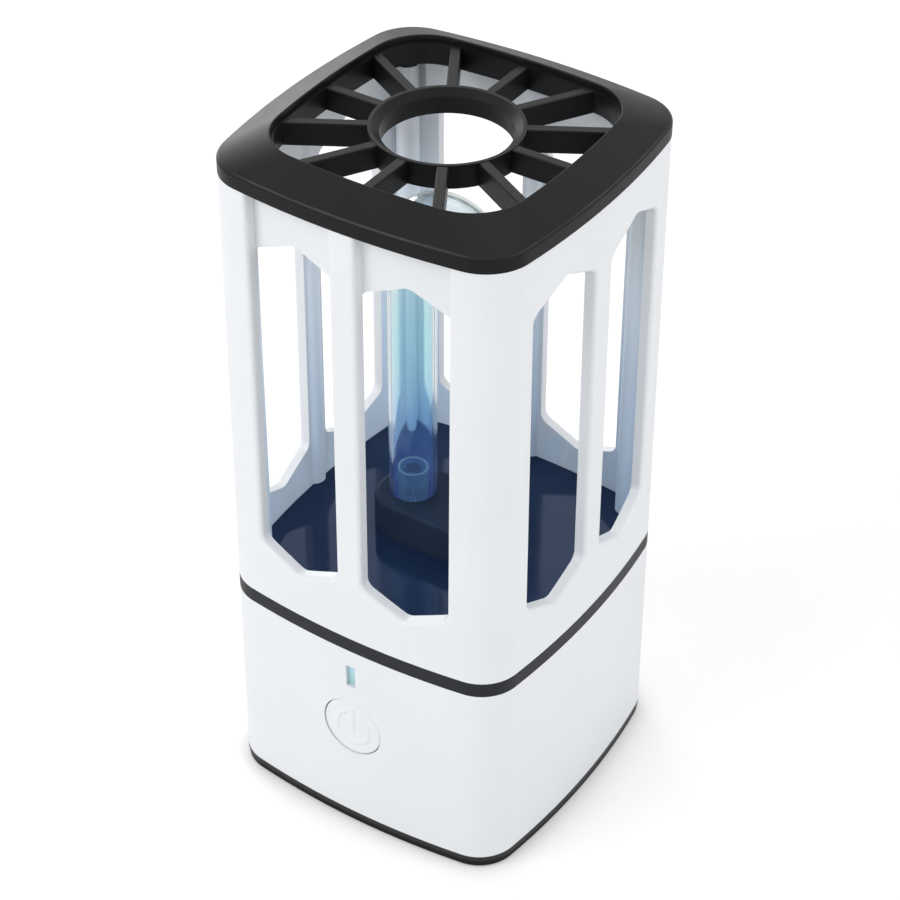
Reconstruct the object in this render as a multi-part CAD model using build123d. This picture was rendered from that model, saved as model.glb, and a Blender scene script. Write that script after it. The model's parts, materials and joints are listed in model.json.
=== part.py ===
from build123d import *
from math import atan, atan2, degrees, hypot, sqrt
import os

# A battery powered ultraviolet lamp: a white base with a push button, a caged lamp chamber above it
# and a black lid with a spoked grille. Millimetres, +Z up, the button faces -Y, and the origin is on
# the table under the middle of the body.

# Body form shared by the base, the dark band, the cage and what plugs into them
BODY_HALF = 33.6            # half width across the flats, at the table
SIDE_LEAN = 0.58            # how far each side leans in between the table and the lid
SIDE_BOW_R = 169.0          # sweep of each slightly bowed side
CORNER_R = 8.7              # upright corners

# Heights of the stacked mouldings
FOOT_PROUD = 0.4            # rubber feet below the bottom cover
COVER_EDGE = 1.5            # visible edge of the bottom cover
BASE_HEIGHT = 43.85
BAND_HEIGHT = 3.2
CAGE_HEIGHT = 90.95
LID_SIDE = 2.9              # upright side of the lid
LID_CROWN = 3.2             # rise from that side to the rim of the opening

# Bottom cover, its feet and its screws
COVER_INSET = 0.15          # edge of the cover behind the side of the base
COVER_EDGE_R = 0.3
COVER_PLATE = 2.0
COVER_PLUG = 2.6            # how far the rim reaches up inside the base
COVER_RIM = 1.5
FIT_GAP = 0.15              # plug of the cover and plateau of the tray, on every side
FOOT_R = 4.5
FOOT_RECESS = 0.5
FOOT_EDGE = 0.25
COVER_SCREW_INSET = 11.6    # bosses, screws and feet, from the sides of the body
COVER_CUP_R = 3.9
COVER_CUP_RISE = 2.0
COVER_BOSS_R = 3.0
COVER_SCREW_R = 1.3
COVER_SCREW_REACH = 10.0    # thread length inside the boss
COVER_HEAD_R = 2.4
COVER_HEAD = 1.6
THREAD_GAP = 0.05
SHANK_GAP = 0.2
HEAD_GAP = 0.2

# Base housing
BASE_WALL = 2.2
DECK = 2.0
BOSS_RIB = 1.2
RIB_START = 6.0             # from the bottom edge of the base to the ribs of its bosses

# Dark tray under the lamp
FLOOR_RISE = 3.6            # chamber floor above the band
TRAY_PLATE = 2.2
TRAY_WALL = 1.8
TRAY_BOSS_R = 2.9
TRAY_RIB = 1.4
TRAY_RIB_X = 15.0

# Cage
CAGE_WALL = 2.45
POST_R = 2.3                # upright posts in the inner corners
POST_SINK = 0.7             # how far a post runs into the corner
BAR_RIB_R = 2.2             # half-round rib behind the middle bar of each face
BAR_RIB_PROUD = 0.9         # that rib past the inner face, at the top
CAGE_SCREW_R = 1.25
CAGE_SCREW_REACH = 10.0
CAGE_HEAD_R = 1.9
CAGE_HEAD = 1.8
WINDOW_BAR = 5.5            # upright bar between the two windows of a face
WINDOW_CORNER = 12.55       # from the side of the body to the windows of the next face
WINDOW_SILL = 13.45         # lower shoulder of a window above the bottom of the cage
WINDOW_HEAD = 12.4          # upper shoulder below the top of the cage
WINDOW_POINT = 4.0          # depth of the shallow point at each end
WINDOW_CORNER_R = 2.4
WINDOW_EDGE_R = 0.8         # softened outer edge
POCKET_DEPTH = 2.5          # recess above the front and back windows
POCKET_CORNER_R = 0.4       # where such a window runs into its recess
POCKET_PANEL = 1.6
POCKET_MARGIN = 1.6         # panel beyond the pocket on each side

# Lid
LID_PROUD = 0.26            # side of the lid past the top of the cage
LID_BOW_STEP = 1.0          # bow radius above that of the body
LID_CORNER_STEP = 0.7       # corner radius above that of the body
LID_EDGE_R = 0.8
CROWN_RUN = 6.98            # from the side of the lid in to the rim of the opening
RIM_LIP = 0.3               # flat of the rim round the opening
RIM_LEDGE = 0.55            # ledge inside the rim, level with the spokes
OPENING_BOW_R = 163.0
OPENING_CORNER_R = 10.3
OPENING_WALL = 1.5
RIM_EDGE_R = 0.25
SKIRT_DEPTH = 2.2
SKIRT_WALL = 1.7
SKIRT_GAP = 0.3
SKIRT_NOTCH_GAP = 0.4
LID_CORE = 1.9              # height of the hollow between opening wall and skirt
PIN_R = 1.1
PIN_REACH = 5.0
PIN_GAP = 0.1
POST_TOP_GAP = 0.2
SPOKES = 12
SPOKE_WIDTH = 2.0
SPOKE_DROP = 1.2            # top of the spokes below the rim
SPOKE_HEIGHT = 4.5
SPOKE_SINK = 0.7            # how far a spoke runs into the opening wall
SPOKE_EDGE_R = 0.25
RING_R = 14.12
RING_WIDTH = 2.12
RING_LAND = 0.7
RING_BEVEL = 1.2
RING_PROUD = 0.1

# Lamp
TUBE_R = 4.75
TUBE_WALL = 0.9
LEG_SPACING = 15.4
TUBE_HEADROOM = 9.7         # top of the bend below the top of the cage
HOLDER_END_WALL = 2.05      # beyond the legs of the tube
HOLDER_SIDE_WALL = 3.05     # beside the legs of the tube
HOLDER_HEIGHT = 8.0
HOLDER_CORNER_R = 6.0
HOLDER_EDGE_R = 0.9
SOCKET_DEPTH = 6.0
SOCKET_GAP = 0.1
HOLDER_SCREW_Y = 3.7
HOLDER_SCREW_R = 1.0
HOLDER_SCREW_REACH = 5.5
HOLDER_HEAD_R = 1.8
HOLDER_HEAD = 1.4
STEM_R = 3.05
STEM_WALL = 0.7
STEM_HEIGHT = 11.6
STEM_FOOT = 1.2
STEM_GAP = 0.05
ELECTRODE_WIRE_R = 0.4
ELECTRODE_CUP_R = 1.8
ELECTRODE_CUP = 4.6
ELECTRODE_CUP_WALL = 0.3
ELECTRODE_RISE = 6.4        # from the foot of the stem to the cup
LEAD_R = 0.6
LEAD_GAP = 0.4

# Battery on its foam pad
BATTERY_END_ROOM = 8.6      # from the side of the body to the end of the cell
BATTERY_CUP_GAP = 1.1       # beside the screw cups of the cover
BATTERY_HEIGHT = 9.0
BATTERY_EDGE_R = 2.5
PAD_HEIGHT = 0.5
PAD_INSET = 2.0
BATTERY_RIB = 1.2
BATTERY_RIB_LENGTH = 34.0
BATTERY_RIB_HEIGHT = 4.0
BATTERY_RIB_GAP = 0.4
TAB_WIDTH = 4.0
TAB_THICKNESS = 0.3
TAB_REACH = 1.4
TAB_SPACING = 12.0
TAB_RISE = 6.0              # above the bottom of the cell

# Main board and what stands on it
BOARD = 1.6
BOARD_CLEARANCE = 4.1       # board above the cell
BOARD_SIDE_ROOM = 5.6       # from the side of the body to the ends of the board
BOARD_BOSS_GAP = 2.0        # beside the bosses of the base
STANDOFF_SIDE = 5.0         # standoffs from the long edges of the board
STANDOFF_END = 3.5          # standoffs from the front and back edges of the board
STANDOFF_R = 2.4
BOARD_SCREW_R = 0.8
BOARD_SCREW_REACH = 6.0
BOARD_HEAD_R = 1.7
BOARD_HEAD = 1.3
COIL_END_ROOM = 2.5         # from the end of the board to the core
CORE_LENGTH = 15.0
CORE_WIDTH = 8.0
CORE_HEIGHT = 12.2
CORE_LEG = 3.0
COIL_R = 3.9
COIL_FLANGE = 0.8
COIL_GAP = 0.1
CAPACITOR_END_ROOM = 6.0    # from the end of the board to the cans
CAPACITOR_SPACING = 11.0
CAPACITOR_R = 4.0
CAPACITOR_HEIGHT = 12.0
CAPACITOR_EDGE_R = 0.6
CAPACITOR_GROOVE = 0.35
CHIP_HEIGHT = 1.5
# Packages behind and before the middle: place along X, distance from that side of the body, length, width
BACK_CHIPS = [(-1.0, 23.1, 6.0, 5.0), (8.5, 20.1, 3.2, 3.2)]
FRONT_CHIPS = [(0.5, 23.6, 9.0, 7.0), (-9.0, 19.1, 3.0, 4.4)]

# Charging socket in the back of the base
SOCKET_WIDTH = 8.94
SOCKET_HEIGHT = 3.26
SOCKET_LENGTH = 7.35
SOCKET_SHELL = 0.3
SOCKET_RECESS = 0.5         # mouth behind the outer face
SOCKET_CUT_GAP = 0.4
SOCKET_BLOCK = 1.4
TONGUE_WIDTH = 6.7
TONGUE_HEIGHT = 0.7
TONGUE_RECESS = 0.8
BOARD_TAB_WIDTH = 13.0
BOARD_TAB_GAP = 1.0         # end of the board behind the back wall

# Push button, its switch and the indicator
BUTTON_DROP = 13.2          # middle of the button below the middle of the indicator
BUTTON_R = 6.5
BUTTON_GAP = 0.2
BUTTON_TRAVEL = 0.6
BUTTON_FLANGE_STEP = 1.2    # flange beyond the cap
BUTTON_FLANGE = 1.2
BUTTON_SEAT_GAP = 0.3
BUTTON_EDGE_R = 0.3
BUTTON_SKIN = 1.1           # side wall of the hollow cap
BUTTON_CORE = 1.6
BUTTON_STUD_R = 1.9
COLLAR_GAP = 0.4
COLLAR_WALL = 1.3
COLLAR_DEPTH = 3.0
SWITCH_BOARD_WIDTH = 18.0
SWITCH_BOARD_GAP = 0.7      # top edge under the deck
SWITCH_SIZE = 6.2
SWITCH_DEPTH = 3.4
PLUNGER_R = 1.7
PLUNGER_PROUD = 1.5
PLUNGER_SINK = 1.4
PLUNGER_GAP = 0.12
PLUNGER_OVERTRAVEL = 0.3
SWITCH_SETBACK = 7.3        # from the inner face of the front wall to the switch board
INDICATOR_DROP = 6.55       # middle of the indicator below the band
INDICATOR_WIDTH = 2.05
INDICATOR_HEIGHT = 5.1
INDICATOR_RECESS = 0.8      # face of the light pipe behind the front
INDICATOR_GAP = 0.06
INDICATOR_FLANGE = 1.0
INDICATOR_LIP = 0.7
CHIP_LED_WIDTH = 2.8
CHIP_LED_HEIGHT = 3.5
CHIP_LED_DEPTH = 1.9
LED_GAP = 0.3

# Levels and places that follow from the sizes above
BODY_HALF_TOP = BODY_HALF - SIDE_LEAN
LID_HALF = BODY_HALF_TOP + LID_PROUD
LID_BOW_R = SIDE_BOW_R + LID_BOW_STEP
LID_CORNER_R = CORNER_R + LID_CORNER_STEP
RIM_HALF = LID_HALF - CROWN_RUN
LEDGE_HALF = RIM_HALF - RIM_LIP
OPENING_HALF = LEDGE_HALF - RIM_LEDGE
LEDGE_BOW_R = OPENING_BOW_R + RIM_LEDGE
LEDGE_CORNER_R = OPENING_CORNER_R + RIM_LEDGE
RING_BORE_R = RING_R - RING_WIDTH
WINDOW_HALF = (BODY_HALF - WINDOW_CORNER - WINDOW_BAR / 2) / 2
WINDOW_CENTRE = WINDOW_HALF + WINDOW_BAR / 2
COVER_SCREW_XY = BODY_HALF - COVER_SCREW_INSET
COVER_Z = FOOT_PROUD
COVER_FLOOR_Z = COVER_Z + COVER_PLATE
CUP_TOP_Z = COVER_FLOOR_Z + COVER_CUP_RISE
BASE_Z = COVER_Z + COVER_EDGE
BAND_Z = BASE_Z + BASE_HEIGHT
DECK_Z = BAND_Z - DECK
CAGE_Z = BAND_Z + BAND_HEIGHT
FLOOR_Z = CAGE_Z + FLOOR_RISE
LID_Z = CAGE_Z + CAGE_HEIGHT
LID_EDGE_Z = LID_Z + LID_SIDE
RIM_Z = LID_EDGE_Z + LID_CROWN
SPOKE_TOP_Z = RIM_Z - SPOKE_DROP
SPOKE_LOW_Z = SPOKE_TOP_Z - SPOKE_HEIGHT
SKIRT_Z = LID_Z - SKIRT_DEPTH
POST_TOP_Z = SKIRT_Z - POST_TOP_GAP
HEAD_SEAT_Z = COVER_Z + FOOT_RECESS + COVER_HEAD + THREAD_GAP
LEG_X = LEG_SPACING / 2
TUBE_Z = FLOOR_Z + HOLDER_HEIGHT - SOCKET_DEPTH
TUBE_TOP = LID_Z - FLOOR_Z - TUBE_HEADROOM
BEND_Z = FLOOR_Z + TUBE_TOP - TUBE_R - LEG_X
HOLDER_LENGTH = 2 * (LEG_X + TUBE_R + HOLDER_END_WALL)
HOLDER_WIDTH = 2 * (TUBE_R + HOLDER_SIDE_WALL)
BATTERY_LENGTH = 2 * (BODY_HALF - BATTERY_END_ROOM)
BATTERY_WIDTH = 2 * (COVER_SCREW_XY - COVER_CUP_R - BATTERY_CUP_GAP)
PAD_Z = COVER_FLOOR_Z
CELL_Z = PAD_Z + PAD_HEIGHT
BOARD_Z = CELL_Z + BATTERY_HEIGHT + BOARD_CLEARANCE
BOARD_TOP_Z = BOARD_Z + BOARD
SHOULDER_LOW_Z = CAGE_Z + WINDOW_SILL
WINDOW_SIDE = CAGE_HEIGHT - WINDOW_SILL - WINDOW_HEAD
SHOULDER_HIGH_Z = SHOULDER_LOW_Z + WINDOW_SIDE
SOCKET_Z = BOARD_TOP_Z + SOCKET_HEIGHT / 2
INDICATOR_Z = BAND_Z - INDICATOR_DROP
BUTTON_Z = INDICATOR_Z - BUTTON_DROP
BUTTON_FLANGE_R = BUTTON_R + BUTTON_FLANGE_STEP
BUTTON_CORE_R = BUTTON_R - BUTTON_SKIN
OVERSHOOT = 1.0             # how far a cutting shape runs past what it cuts
WELD = 0.2                  # how far one feature runs into the next one of the same moulding
QUARTERS = ((1, 1), (-1, 1), (-1, -1), (1, -1))
BOTTOM = (Align.CENTER, Align.CENTER, Align.MIN)
LOW_CORNER = (Align.MIN, Align.MIN, Align.MIN)


def corner_centre(half, bow_r, corner_r):
    """Distance of a corner arc's centre from both middle planes, where it meets the bowed sides."""
    run = bow_r - half
    return (sqrt(2 * (bow_r - corner_r) ** 2 - run ** 2) - run) / 2


def outline(half, bow_r, corner_r, z=0.0):
    """Square face with bowed sides that run tangent into its round corners."""
    centre = corner_centre(half, bow_r, corner_r)
    run = bow_r - half
    turn = degrees(atan2(centre, centre + run))
    side = CenterArc((-run, 0), bow_r, -turn, 2 * turn)
    corner = CenterArc((centre, centre), corner_r, turn, 90 - 2 * turn)
    arcs = [Rot(0, 0, 90 * quarter) * arc for quarter in range(4) for arc in (side, corner)]
    return Pos(0, 0, z) * make_face(arcs)


def half_at(z):
    """Half width of the body at a height, along its straight draft."""
    return BODY_HALF - (BODY_HALF - BODY_HALF_TOP) * z / LID_Z


def body_block(low_z, high_z, inset=0.0):
    """The tapered form of the body between two heights, drawn in by an inset on every side."""
    drawn_in = BODY_HALF - half_at(low_z) + inset
    draft = degrees(atan((BODY_HALF - BODY_HALF_TOP) / LID_Z))
    face = outline(BODY_HALF - drawn_in, SIDE_BOW_R - drawn_in, CORNER_R - drawn_in, low_z)
    return extrude(face, amount=high_z - low_z, taper=draft)


def rod(radius, low_z, high_z, x=0.0, y=0.0):
    """Upright cylinder between two heights."""
    return Pos(x, y, low_z) * Cylinder(radius, high_z - low_z, align=BOTTOM)


def rod_y(radius, front_y, back_y, z, x=0.0):
    """Cylinder that lies along Y."""
    return Pos(x, front_y, z) * Rot(-90, 0, 0) * Cylinder(radius, back_y - front_y, align=BOTTOM)


def bar(x, y, z):
    """Box between two limits on each axis."""
    sizes = (x[1] - x[0], y[1] - y[0], z[1] - z[0])
    return Pos(x[0], y[0], z[0]) * Box(*sizes, align=LOW_CORNER)


def corners(distance):
    """The four places at one distance from both middle planes."""
    return [(sx * distance, sy * distance) for sx, sy in QUARTERS]


def screw(radius, reach, head_r, head, seat_z, x, y):
    """Screw that points up, with the flat of its domed head against a seat."""
    shank = rod(radius, seat_z, seat_z + reach, x, y)
    tip = chamfer(shank.edges().sort_by(Axis.Z)[-1], radius / 2)
    cap = rod(head_r, seat_z - head, seat_z, x, y)
    cap = fillet(cap.edges().sort_by(Axis.Z)[0], head / 3)
    return tip + cap


# Place of the upright posts: from the inner corner of the cage at its narrow end
DRAWN_IN_TOP = BODY_HALF - BODY_HALF_TOP
TOP_CENTRE = corner_centre(BODY_HALF_TOP, SIDE_BOW_R - DRAWN_IN_TOP, CORNER_R - DRAWN_IN_TOP)
INNER_CORNER = TOP_CENTRE * sqrt(2) + CORNER_R - DRAWN_IN_TOP - CAGE_WALL
POST_XY = (INNER_CORNER + POST_SINK - POST_R) / sqrt(2)

# Places along Y of the pieces behind the front wall, from the wall inwards
FRONT_WALL_Y = BASE_WALL - half_at(BUTTON_Z)
FLANGE_Y = FRONT_WALL_Y + BUTTON_SEAT_GAP
FLANGE_BACK_Y = FLANGE_Y + BUTTON_FLANGE
SWITCH_BOARD_Y = FRONT_WALL_Y + SWITCH_SETBACK
SWITCH_FRONT_Y = SWITCH_BOARD_Y - SWITCH_DEPTH
PLUNGER_TIP_Y = SWITCH_FRONT_Y - PLUNGER_PROUD

# Main board: its front edge is in line with the switch board, and it stays clear of the bosses
BOARD_WIDE = 2 * (BODY_HALF - BOARD_SIDE_ROOM)
BOARD_WIDE_DEPTH = 2 * (COVER_SCREW_XY - COVER_BOSS_R - BOARD_BOSS_GAP)
BOARD_LONG = -2 * SWITCH_BOARD_Y
BOARD_LONG_WIDTH = BOARD_WIDE_DEPTH
COIL_X = BOARD_WIDE / 2 - COIL_END_ROOM - CORE_LENGTH / 2
CAPACITOR_X = BOARD_WIDE / 2 - CAPACITOR_END_ROOM - CAPACITOR_R
STANDOFF_X = BOARD_LONG_WIDTH / 2 - STANDOFF_SIDE
STANDOFF_Y = BOARD_LONG / 2 - STANDOFF_END


def rubber_feet():
    """Round pads pressed into the recesses of the bottom cover."""
    feet = []
    for x, y in corners(COVER_SCREW_XY):
        foot = rod(FOOT_R, 0, COVER_Z + FOOT_RECESS, x, y)
        feet.append(fillet(foot.edges().sort_by(Axis.Z)[0], FOOT_EDGE))
    return Part() + feet


def bottom_cover():
    """Shallow tray that plugs into the base and carries the battery, the board and the feet."""
    rim_z = BASE_Z + COVER_PLUG
    plug_inset = BASE_WALL + FIT_GAP
    plate = body_block(COVER_Z, BASE_Z, COVER_INSET)
    plate = fillet(plate.edges().group_by(Axis.Z)[0], COVER_EDGE_R)
    cover = plate + body_block(BASE_Z, rim_z, plug_inset)
    cover -= body_block(COVER_FLOOR_Z, rim_z + OVERSHOOT, plug_inset + COVER_RIM)
    for x, y in corners(COVER_SCREW_XY):
        cover += rod(COVER_CUP_R, COVER_FLOOR_Z - WELD, CUP_TOP_Z, x, y)
        cover -= rod(FOOT_R + THREAD_GAP, COVER_Z - OVERSHOOT, COVER_Z + FOOT_RECESS, x, y)
        cover -= rod(COVER_HEAD_R + HEAD_GAP, COVER_Z, HEAD_SEAT_Z, x, y)
        cover -= rod(COVER_SCREW_R + SHANK_GAP, COVER_Z, CUP_TOP_Z + OVERSHOOT, x, y)
    rib_y = BATTERY_WIDTH / 2 + BATTERY_RIB_GAP
    rib_z = (COVER_FLOOR_Z - WELD, COVER_FLOOR_Z + BATTERY_RIB_HEIGHT)
    for side in (1, -1):
        ends = sorted((side * rib_y, side * (rib_y + BATTERY_RIB)))
        cover += bar((-BATTERY_RIB_LENGTH / 2, BATTERY_RIB_LENGTH / 2), ends, rib_z)
    for sx, sy in QUARTERS:
        x, y = sx * STANDOFF_X, sy * STANDOFF_Y
        cover += rod(STANDOFF_R, COVER_FLOOR_Z - WELD, BOARD_Z, x, y)
        cover -= rod(BOARD_SCREW_R + THREAD_GAP, BOARD_Z - BOARD_SCREW_REACH - 1, BOARD_Z + OVERSHOOT, x, y)
    return cover


def bottom_screws():
    """Screws under the feet that hold the cover to the bosses of the base."""
    reach = CUP_TOP_Z - HEAD_SEAT_Z + COVER_SCREW_REACH
    return Part() + [
        screw(COVER_SCREW_R, reach, COVER_HEAD_R, COVER_HEAD, HEAD_SEAT_Z, x, y)
        for x, y in corners(COVER_SCREW_XY)
    ]


def base_housing():
    """Lower housing: four walls under a deck, with ribbed bosses and a guide for the button."""
    shell = body_block(BASE_Z, BAND_Z) - body_block(BASE_Z - OVERSHOOT, DECK_Z, BASE_WALL)
    inside = body_block(BASE_Z, DECK_Z + WELD, BASE_WALL - WELD)
    details = []
    for sx, sy in QUARTERS:
        x, y = sx * COVER_SCREW_XY, sy * COVER_SCREW_XY
        details.append(rod(COVER_BOSS_R, CUP_TOP_Z, DECK_Z + WELD, x, y))
        rib_z = (BASE_Z + RIB_START, DECK_Z + WELD)
        across_x = sorted((x, sx * BODY_HALF))
        across_y = sorted((y, sy * BODY_HALF))
        details.append(bar(across_x, (y - BOSS_RIB / 2, y + BOSS_RIB / 2), rib_z))
        details.append(bar((x - BOSS_RIB / 2, x + BOSS_RIB / 2), across_y, rib_z))
    wall_y = BASE_WALL - half_at(BUTTON_Z)
    collar_r = BUTTON_FLANGE_R + COLLAR_GAP
    collar = rod_y(collar_r + COLLAR_WALL, -BODY_HALF, wall_y + COLLAR_DEPTH, BUTTON_Z)
    collar -= rod_y(collar_r, -BODY_HALF - OVERSHOOT, wall_y + COLLAR_DEPTH + OVERSHOOT, BUTTON_Z)
    details.append(collar)
    for detail in details:
        shell += detail & inside
    for x, y in corners(COVER_SCREW_XY):
        top_z = CUP_TOP_Z + COVER_SCREW_REACH + OVERSHOOT
        shell -= rod(COVER_SCREW_R + THREAD_GAP, CUP_TOP_Z - OVERSHOOT, top_z, x, y)
    for x, y in corners(POST_XY):
        shell -= rod(CAGE_SCREW_R + SHANK_GAP, DECK_Z - OVERSHOOT, BAND_Z + OVERSHOOT, x, y)
    for x in (-LEG_X, LEG_X):
        shell -= rod(LEAD_R + LEAD_GAP, DECK_Z - OVERSHOOT, BAND_Z + OVERSHOOT, x)
    shell -= rod_y(BUTTON_R + BUTTON_GAP, -BODY_HALF - OVERSHOOT, wall_y + WELD, BUTTON_Z)
    slot_half = INDICATOR_WIDTH / 2 + INDICATOR_GAP
    slot_rise = INDICATOR_HEIGHT / 2 + INDICATOR_GAP
    slot_y = (-BODY_HALF - OVERSHOOT, OVERSHOOT + BASE_WALL - BODY_HALF_TOP)
    shell -= bar((-slot_half, slot_half), slot_y, (INDICATOR_Z - slot_rise, INDICATOR_Z + slot_rise))
    return shell - charging_slot(SOCKET_CUT_GAP, 0, BODY_HALF + OVERSHOOT)


def charging_slot(margin, front_y, back_y):
    """Round-ended shape of the charging socket, grown by a margin."""
    width = SOCKET_WIDTH + 2 * margin
    height = SOCKET_HEIGHT + 2 * margin
    face = Plane.XZ.offset(-front_y) * Pos(0, SOCKET_Z) * RectangleRounded(width, height, height / 2.1)
    return extrude(face, amount=-(back_y - front_y))


def lamp_tray():
    """Glossy chamber floor, whose flange lies between base and cage and shows as the dark band."""
    plug_inset = CAGE_WALL + FIT_GAP
    plate_z = FLOOR_Z - TRAY_PLATE
    tray = body_block(BAND_Z, CAGE_Z) + body_block(CAGE_Z - WELD, FLOOR_Z, plug_inset)
    hollow = body_block(BAND_Z - OVERSHOOT, plate_z, plug_inset + TRAY_WALL)
    tray -= hollow
    under_plate = body_block(BAND_Z, plate_z + WELD, plug_inset)
    for x, y in corners(POST_XY):
        tray += rod(TRAY_BOSS_R, BAND_Z, plate_z + WELD, x, y) & under_plate
    for x in (-TRAY_RIB_X, TRAY_RIB_X):
        rib = bar((x - TRAY_RIB / 2, x + TRAY_RIB / 2), (-BODY_HALF, BODY_HALF), (BAND_Z, plate_z + WELD))
        tray += rib & body_block(BAND_Z, plate_z + WELD, plug_inset + TRAY_WALL - WELD)
    for x, y in corners(POST_XY):
        tray -= rod(CAGE_SCREW_R + SHANK_GAP, BAND_Z - OVERSHOOT, FLOOR_Z + OVERSHOOT, x, y)
    for y in (-HOLDER_SCREW_Y, HOLDER_SCREW_Y):
        tray -= rod(HOLDER_SCREW_R + SHANK_GAP, BAND_Z, FLOOR_Z + OVERSHOOT, 0, y)
    for x in (-LEG_X, LEG_X):
        tray -= rod(LEAD_R + LEAD_GAP, BAND_Z, FLOOR_Z + OVERSHOOT, x)
    return tray


def at_upper_shoulder(vertex):
    """Whether a corner of a window, drawn in width and height, is one of its two upper side corners."""
    return hypot(abs(vertex.X) - WINDOW_HALF, vertex.Y - SHOULDER_HIGH_Z) < WELD


def window_outline(shoulder_r):
    """Tall window with pointed ends, in width and height. Its upper side corners have their own radius."""
    points = [
        (-WINDOW_HALF, SHOULDER_LOW_Z),
        (0, SHOULDER_LOW_Z - WINDOW_POINT),
        (WINDOW_HALF, SHOULDER_LOW_Z),
        (WINDOW_HALF, SHOULDER_HIGH_Z),
        (0, SHOULDER_HIGH_Z + WINDOW_POINT),
        (-WINDOW_HALF, SHOULDER_HIGH_Z),
    ]
    shape = make_face(Polyline(*points, close=True))
    shape = fillet([corner for corner in shape.vertices() if not at_upper_shoulder(corner)], WINDOW_CORNER_R)
    return fillet([corner for corner in shape.vertices() if at_upper_shoulder(corner)], shoulder_r)


def face_distance(point):
    """How far a point lies from the outer face of the body, for a point near one of its four sides."""
    along, out = sorted((abs(point.X), abs(point.Y)))
    half = half_at(point.Z)
    bow_r = SIDE_BOW_R - BODY_HALF + half
    return abs(out - (sqrt(bow_r ** 2 - along ** 2) - bow_r + half))


def cage():
    """Upper housing: eight windows, corner posts, ribs behind the bars, and pockets on front and back."""
    shell = body_block(CAGE_Z, LID_Z) - body_block(CAGE_Z - OVERSHOOT, LID_Z + OVERSHOOT, CAGE_WALL)
    for x, y in corners(POST_XY):
        shell += rod(POST_R, FLOOR_Z, POST_TOP_Z, x, y)
    rib_y = BODY_HALF_TOP - CAGE_WALL - BAR_RIB_PROUD + BAR_RIB_R
    bar_rib = rod(BAR_RIB_R, FLOOR_Z, POST_TOP_Z, 0, rib_y) & body_block(CAGE_Z, LID_Z, CAGE_WALL / 2)
    shell += [Rot(0, 0, 90 * quarter) * bar_rib for quarter in range(4)]
    panel_half = WINDOW_CENTRE + WINDOW_HALF + POCKET_MARGIN
    panel_low_z = SHOULDER_HIGH_Z - POCKET_CORNER_R
    panel_band = body_block(panel_low_z, LID_Z, CAGE_WALL - WELD)
    panel_band -= body_block(panel_low_z - OVERSHOOT, LID_Z + OVERSHOOT, POCKET_DEPTH + POCKET_PANEL)
    depth = BODY_HALF / 2
    for side in (1, -1):
        reach = sorted((side * depth, side * BODY_HALF))
        shell += bar((-panel_half, panel_half), reach, (panel_low_z, LID_Z)) & panel_band
    inside_pocket = body_block(CAGE_Z, LID_Z + 2 * OVERSHOOT, POCKET_DEPTH)
    past_face = BODY_HALF + OVERSHOOT
    under_pocket = extrude(Plane.XZ * window_outline(POCKET_CORNER_R), amount=past_face, both=True)
    plain = extrude(Plane.XZ * window_outline(WINDOW_CORNER_R), amount=past_face, both=True)
    for centre in (-WINDOW_CENTRE, WINDOW_CENTRE):
        shell -= Pos(centre, 0, 0) * under_pocket
        shell -= Rot(0, 0, 90) * Pos(centre, 0, 0) * plain
        limits = (centre - WINDOW_HALF, centre + WINDOW_HALF)
        for side in (1, -1):
            reach = sorted((side * depth, side * past_face))
            pocket = bar(limits, reach, (SHOULDER_HIGH_Z - WINDOW_POINT, LID_Z + OVERSHOOT))
            shell -= pocket - inside_pocket
    for x, y in corners(POST_XY):
        pilot = CAGE_SCREW_R + THREAD_GAP
        shell -= rod(pilot, FLOOR_Z - OVERSHOOT, FLOOR_Z + CAGE_SCREW_REACH + OVERSHOOT, x, y)
        shell -= rod(PIN_R + PIN_GAP, POST_TOP_Z - PIN_REACH - OVERSHOOT, POST_TOP_Z + OVERSHOOT, x, y)
    return fillet(window_rims(shell), WINDOW_EDGE_R)


def window_rims(shell):
    """Outer edges of the windows and pockets, which are softened."""
    reach = WINDOW_CENTRE + WINDOW_HALF + WELD
    tolerance = 0.02
    rims = []
    for edge in shell.edges():
        points = [edge @ step for step in (0.02, 0.5, 0.98)]
        on_face = all(face_distance(point) < tolerance for point in points)
        by_window = all(min(abs(point.X), abs(point.Y)) < reach for point in points)
        flat_end = all(abs(point.Z - points[0].Z) < tolerance for point in points)
        if on_face and by_window and not flat_end:
            rims.append(edge)
    return rims


def cage_screws():
    """Screws up through deck and tray into the posts, which clamp base, tray and cage together."""
    reach = FLOOR_Z - DECK_Z + CAGE_SCREW_REACH
    return Part() + [
        screw(CAGE_SCREW_R, reach, CAGE_HEAD_R, CAGE_HEAD, DECK_Z, x, y) for x, y in corners(POST_XY)
    ]


def edges_at(shape, z):
    """Edges of a shape that lie at one height from end to end."""
    slack = 0.01
    return [edge for edge in shape.edges() if all(abs((edge @ step).Z - z) < slack for step in (0, 0.5, 1))]


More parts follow.
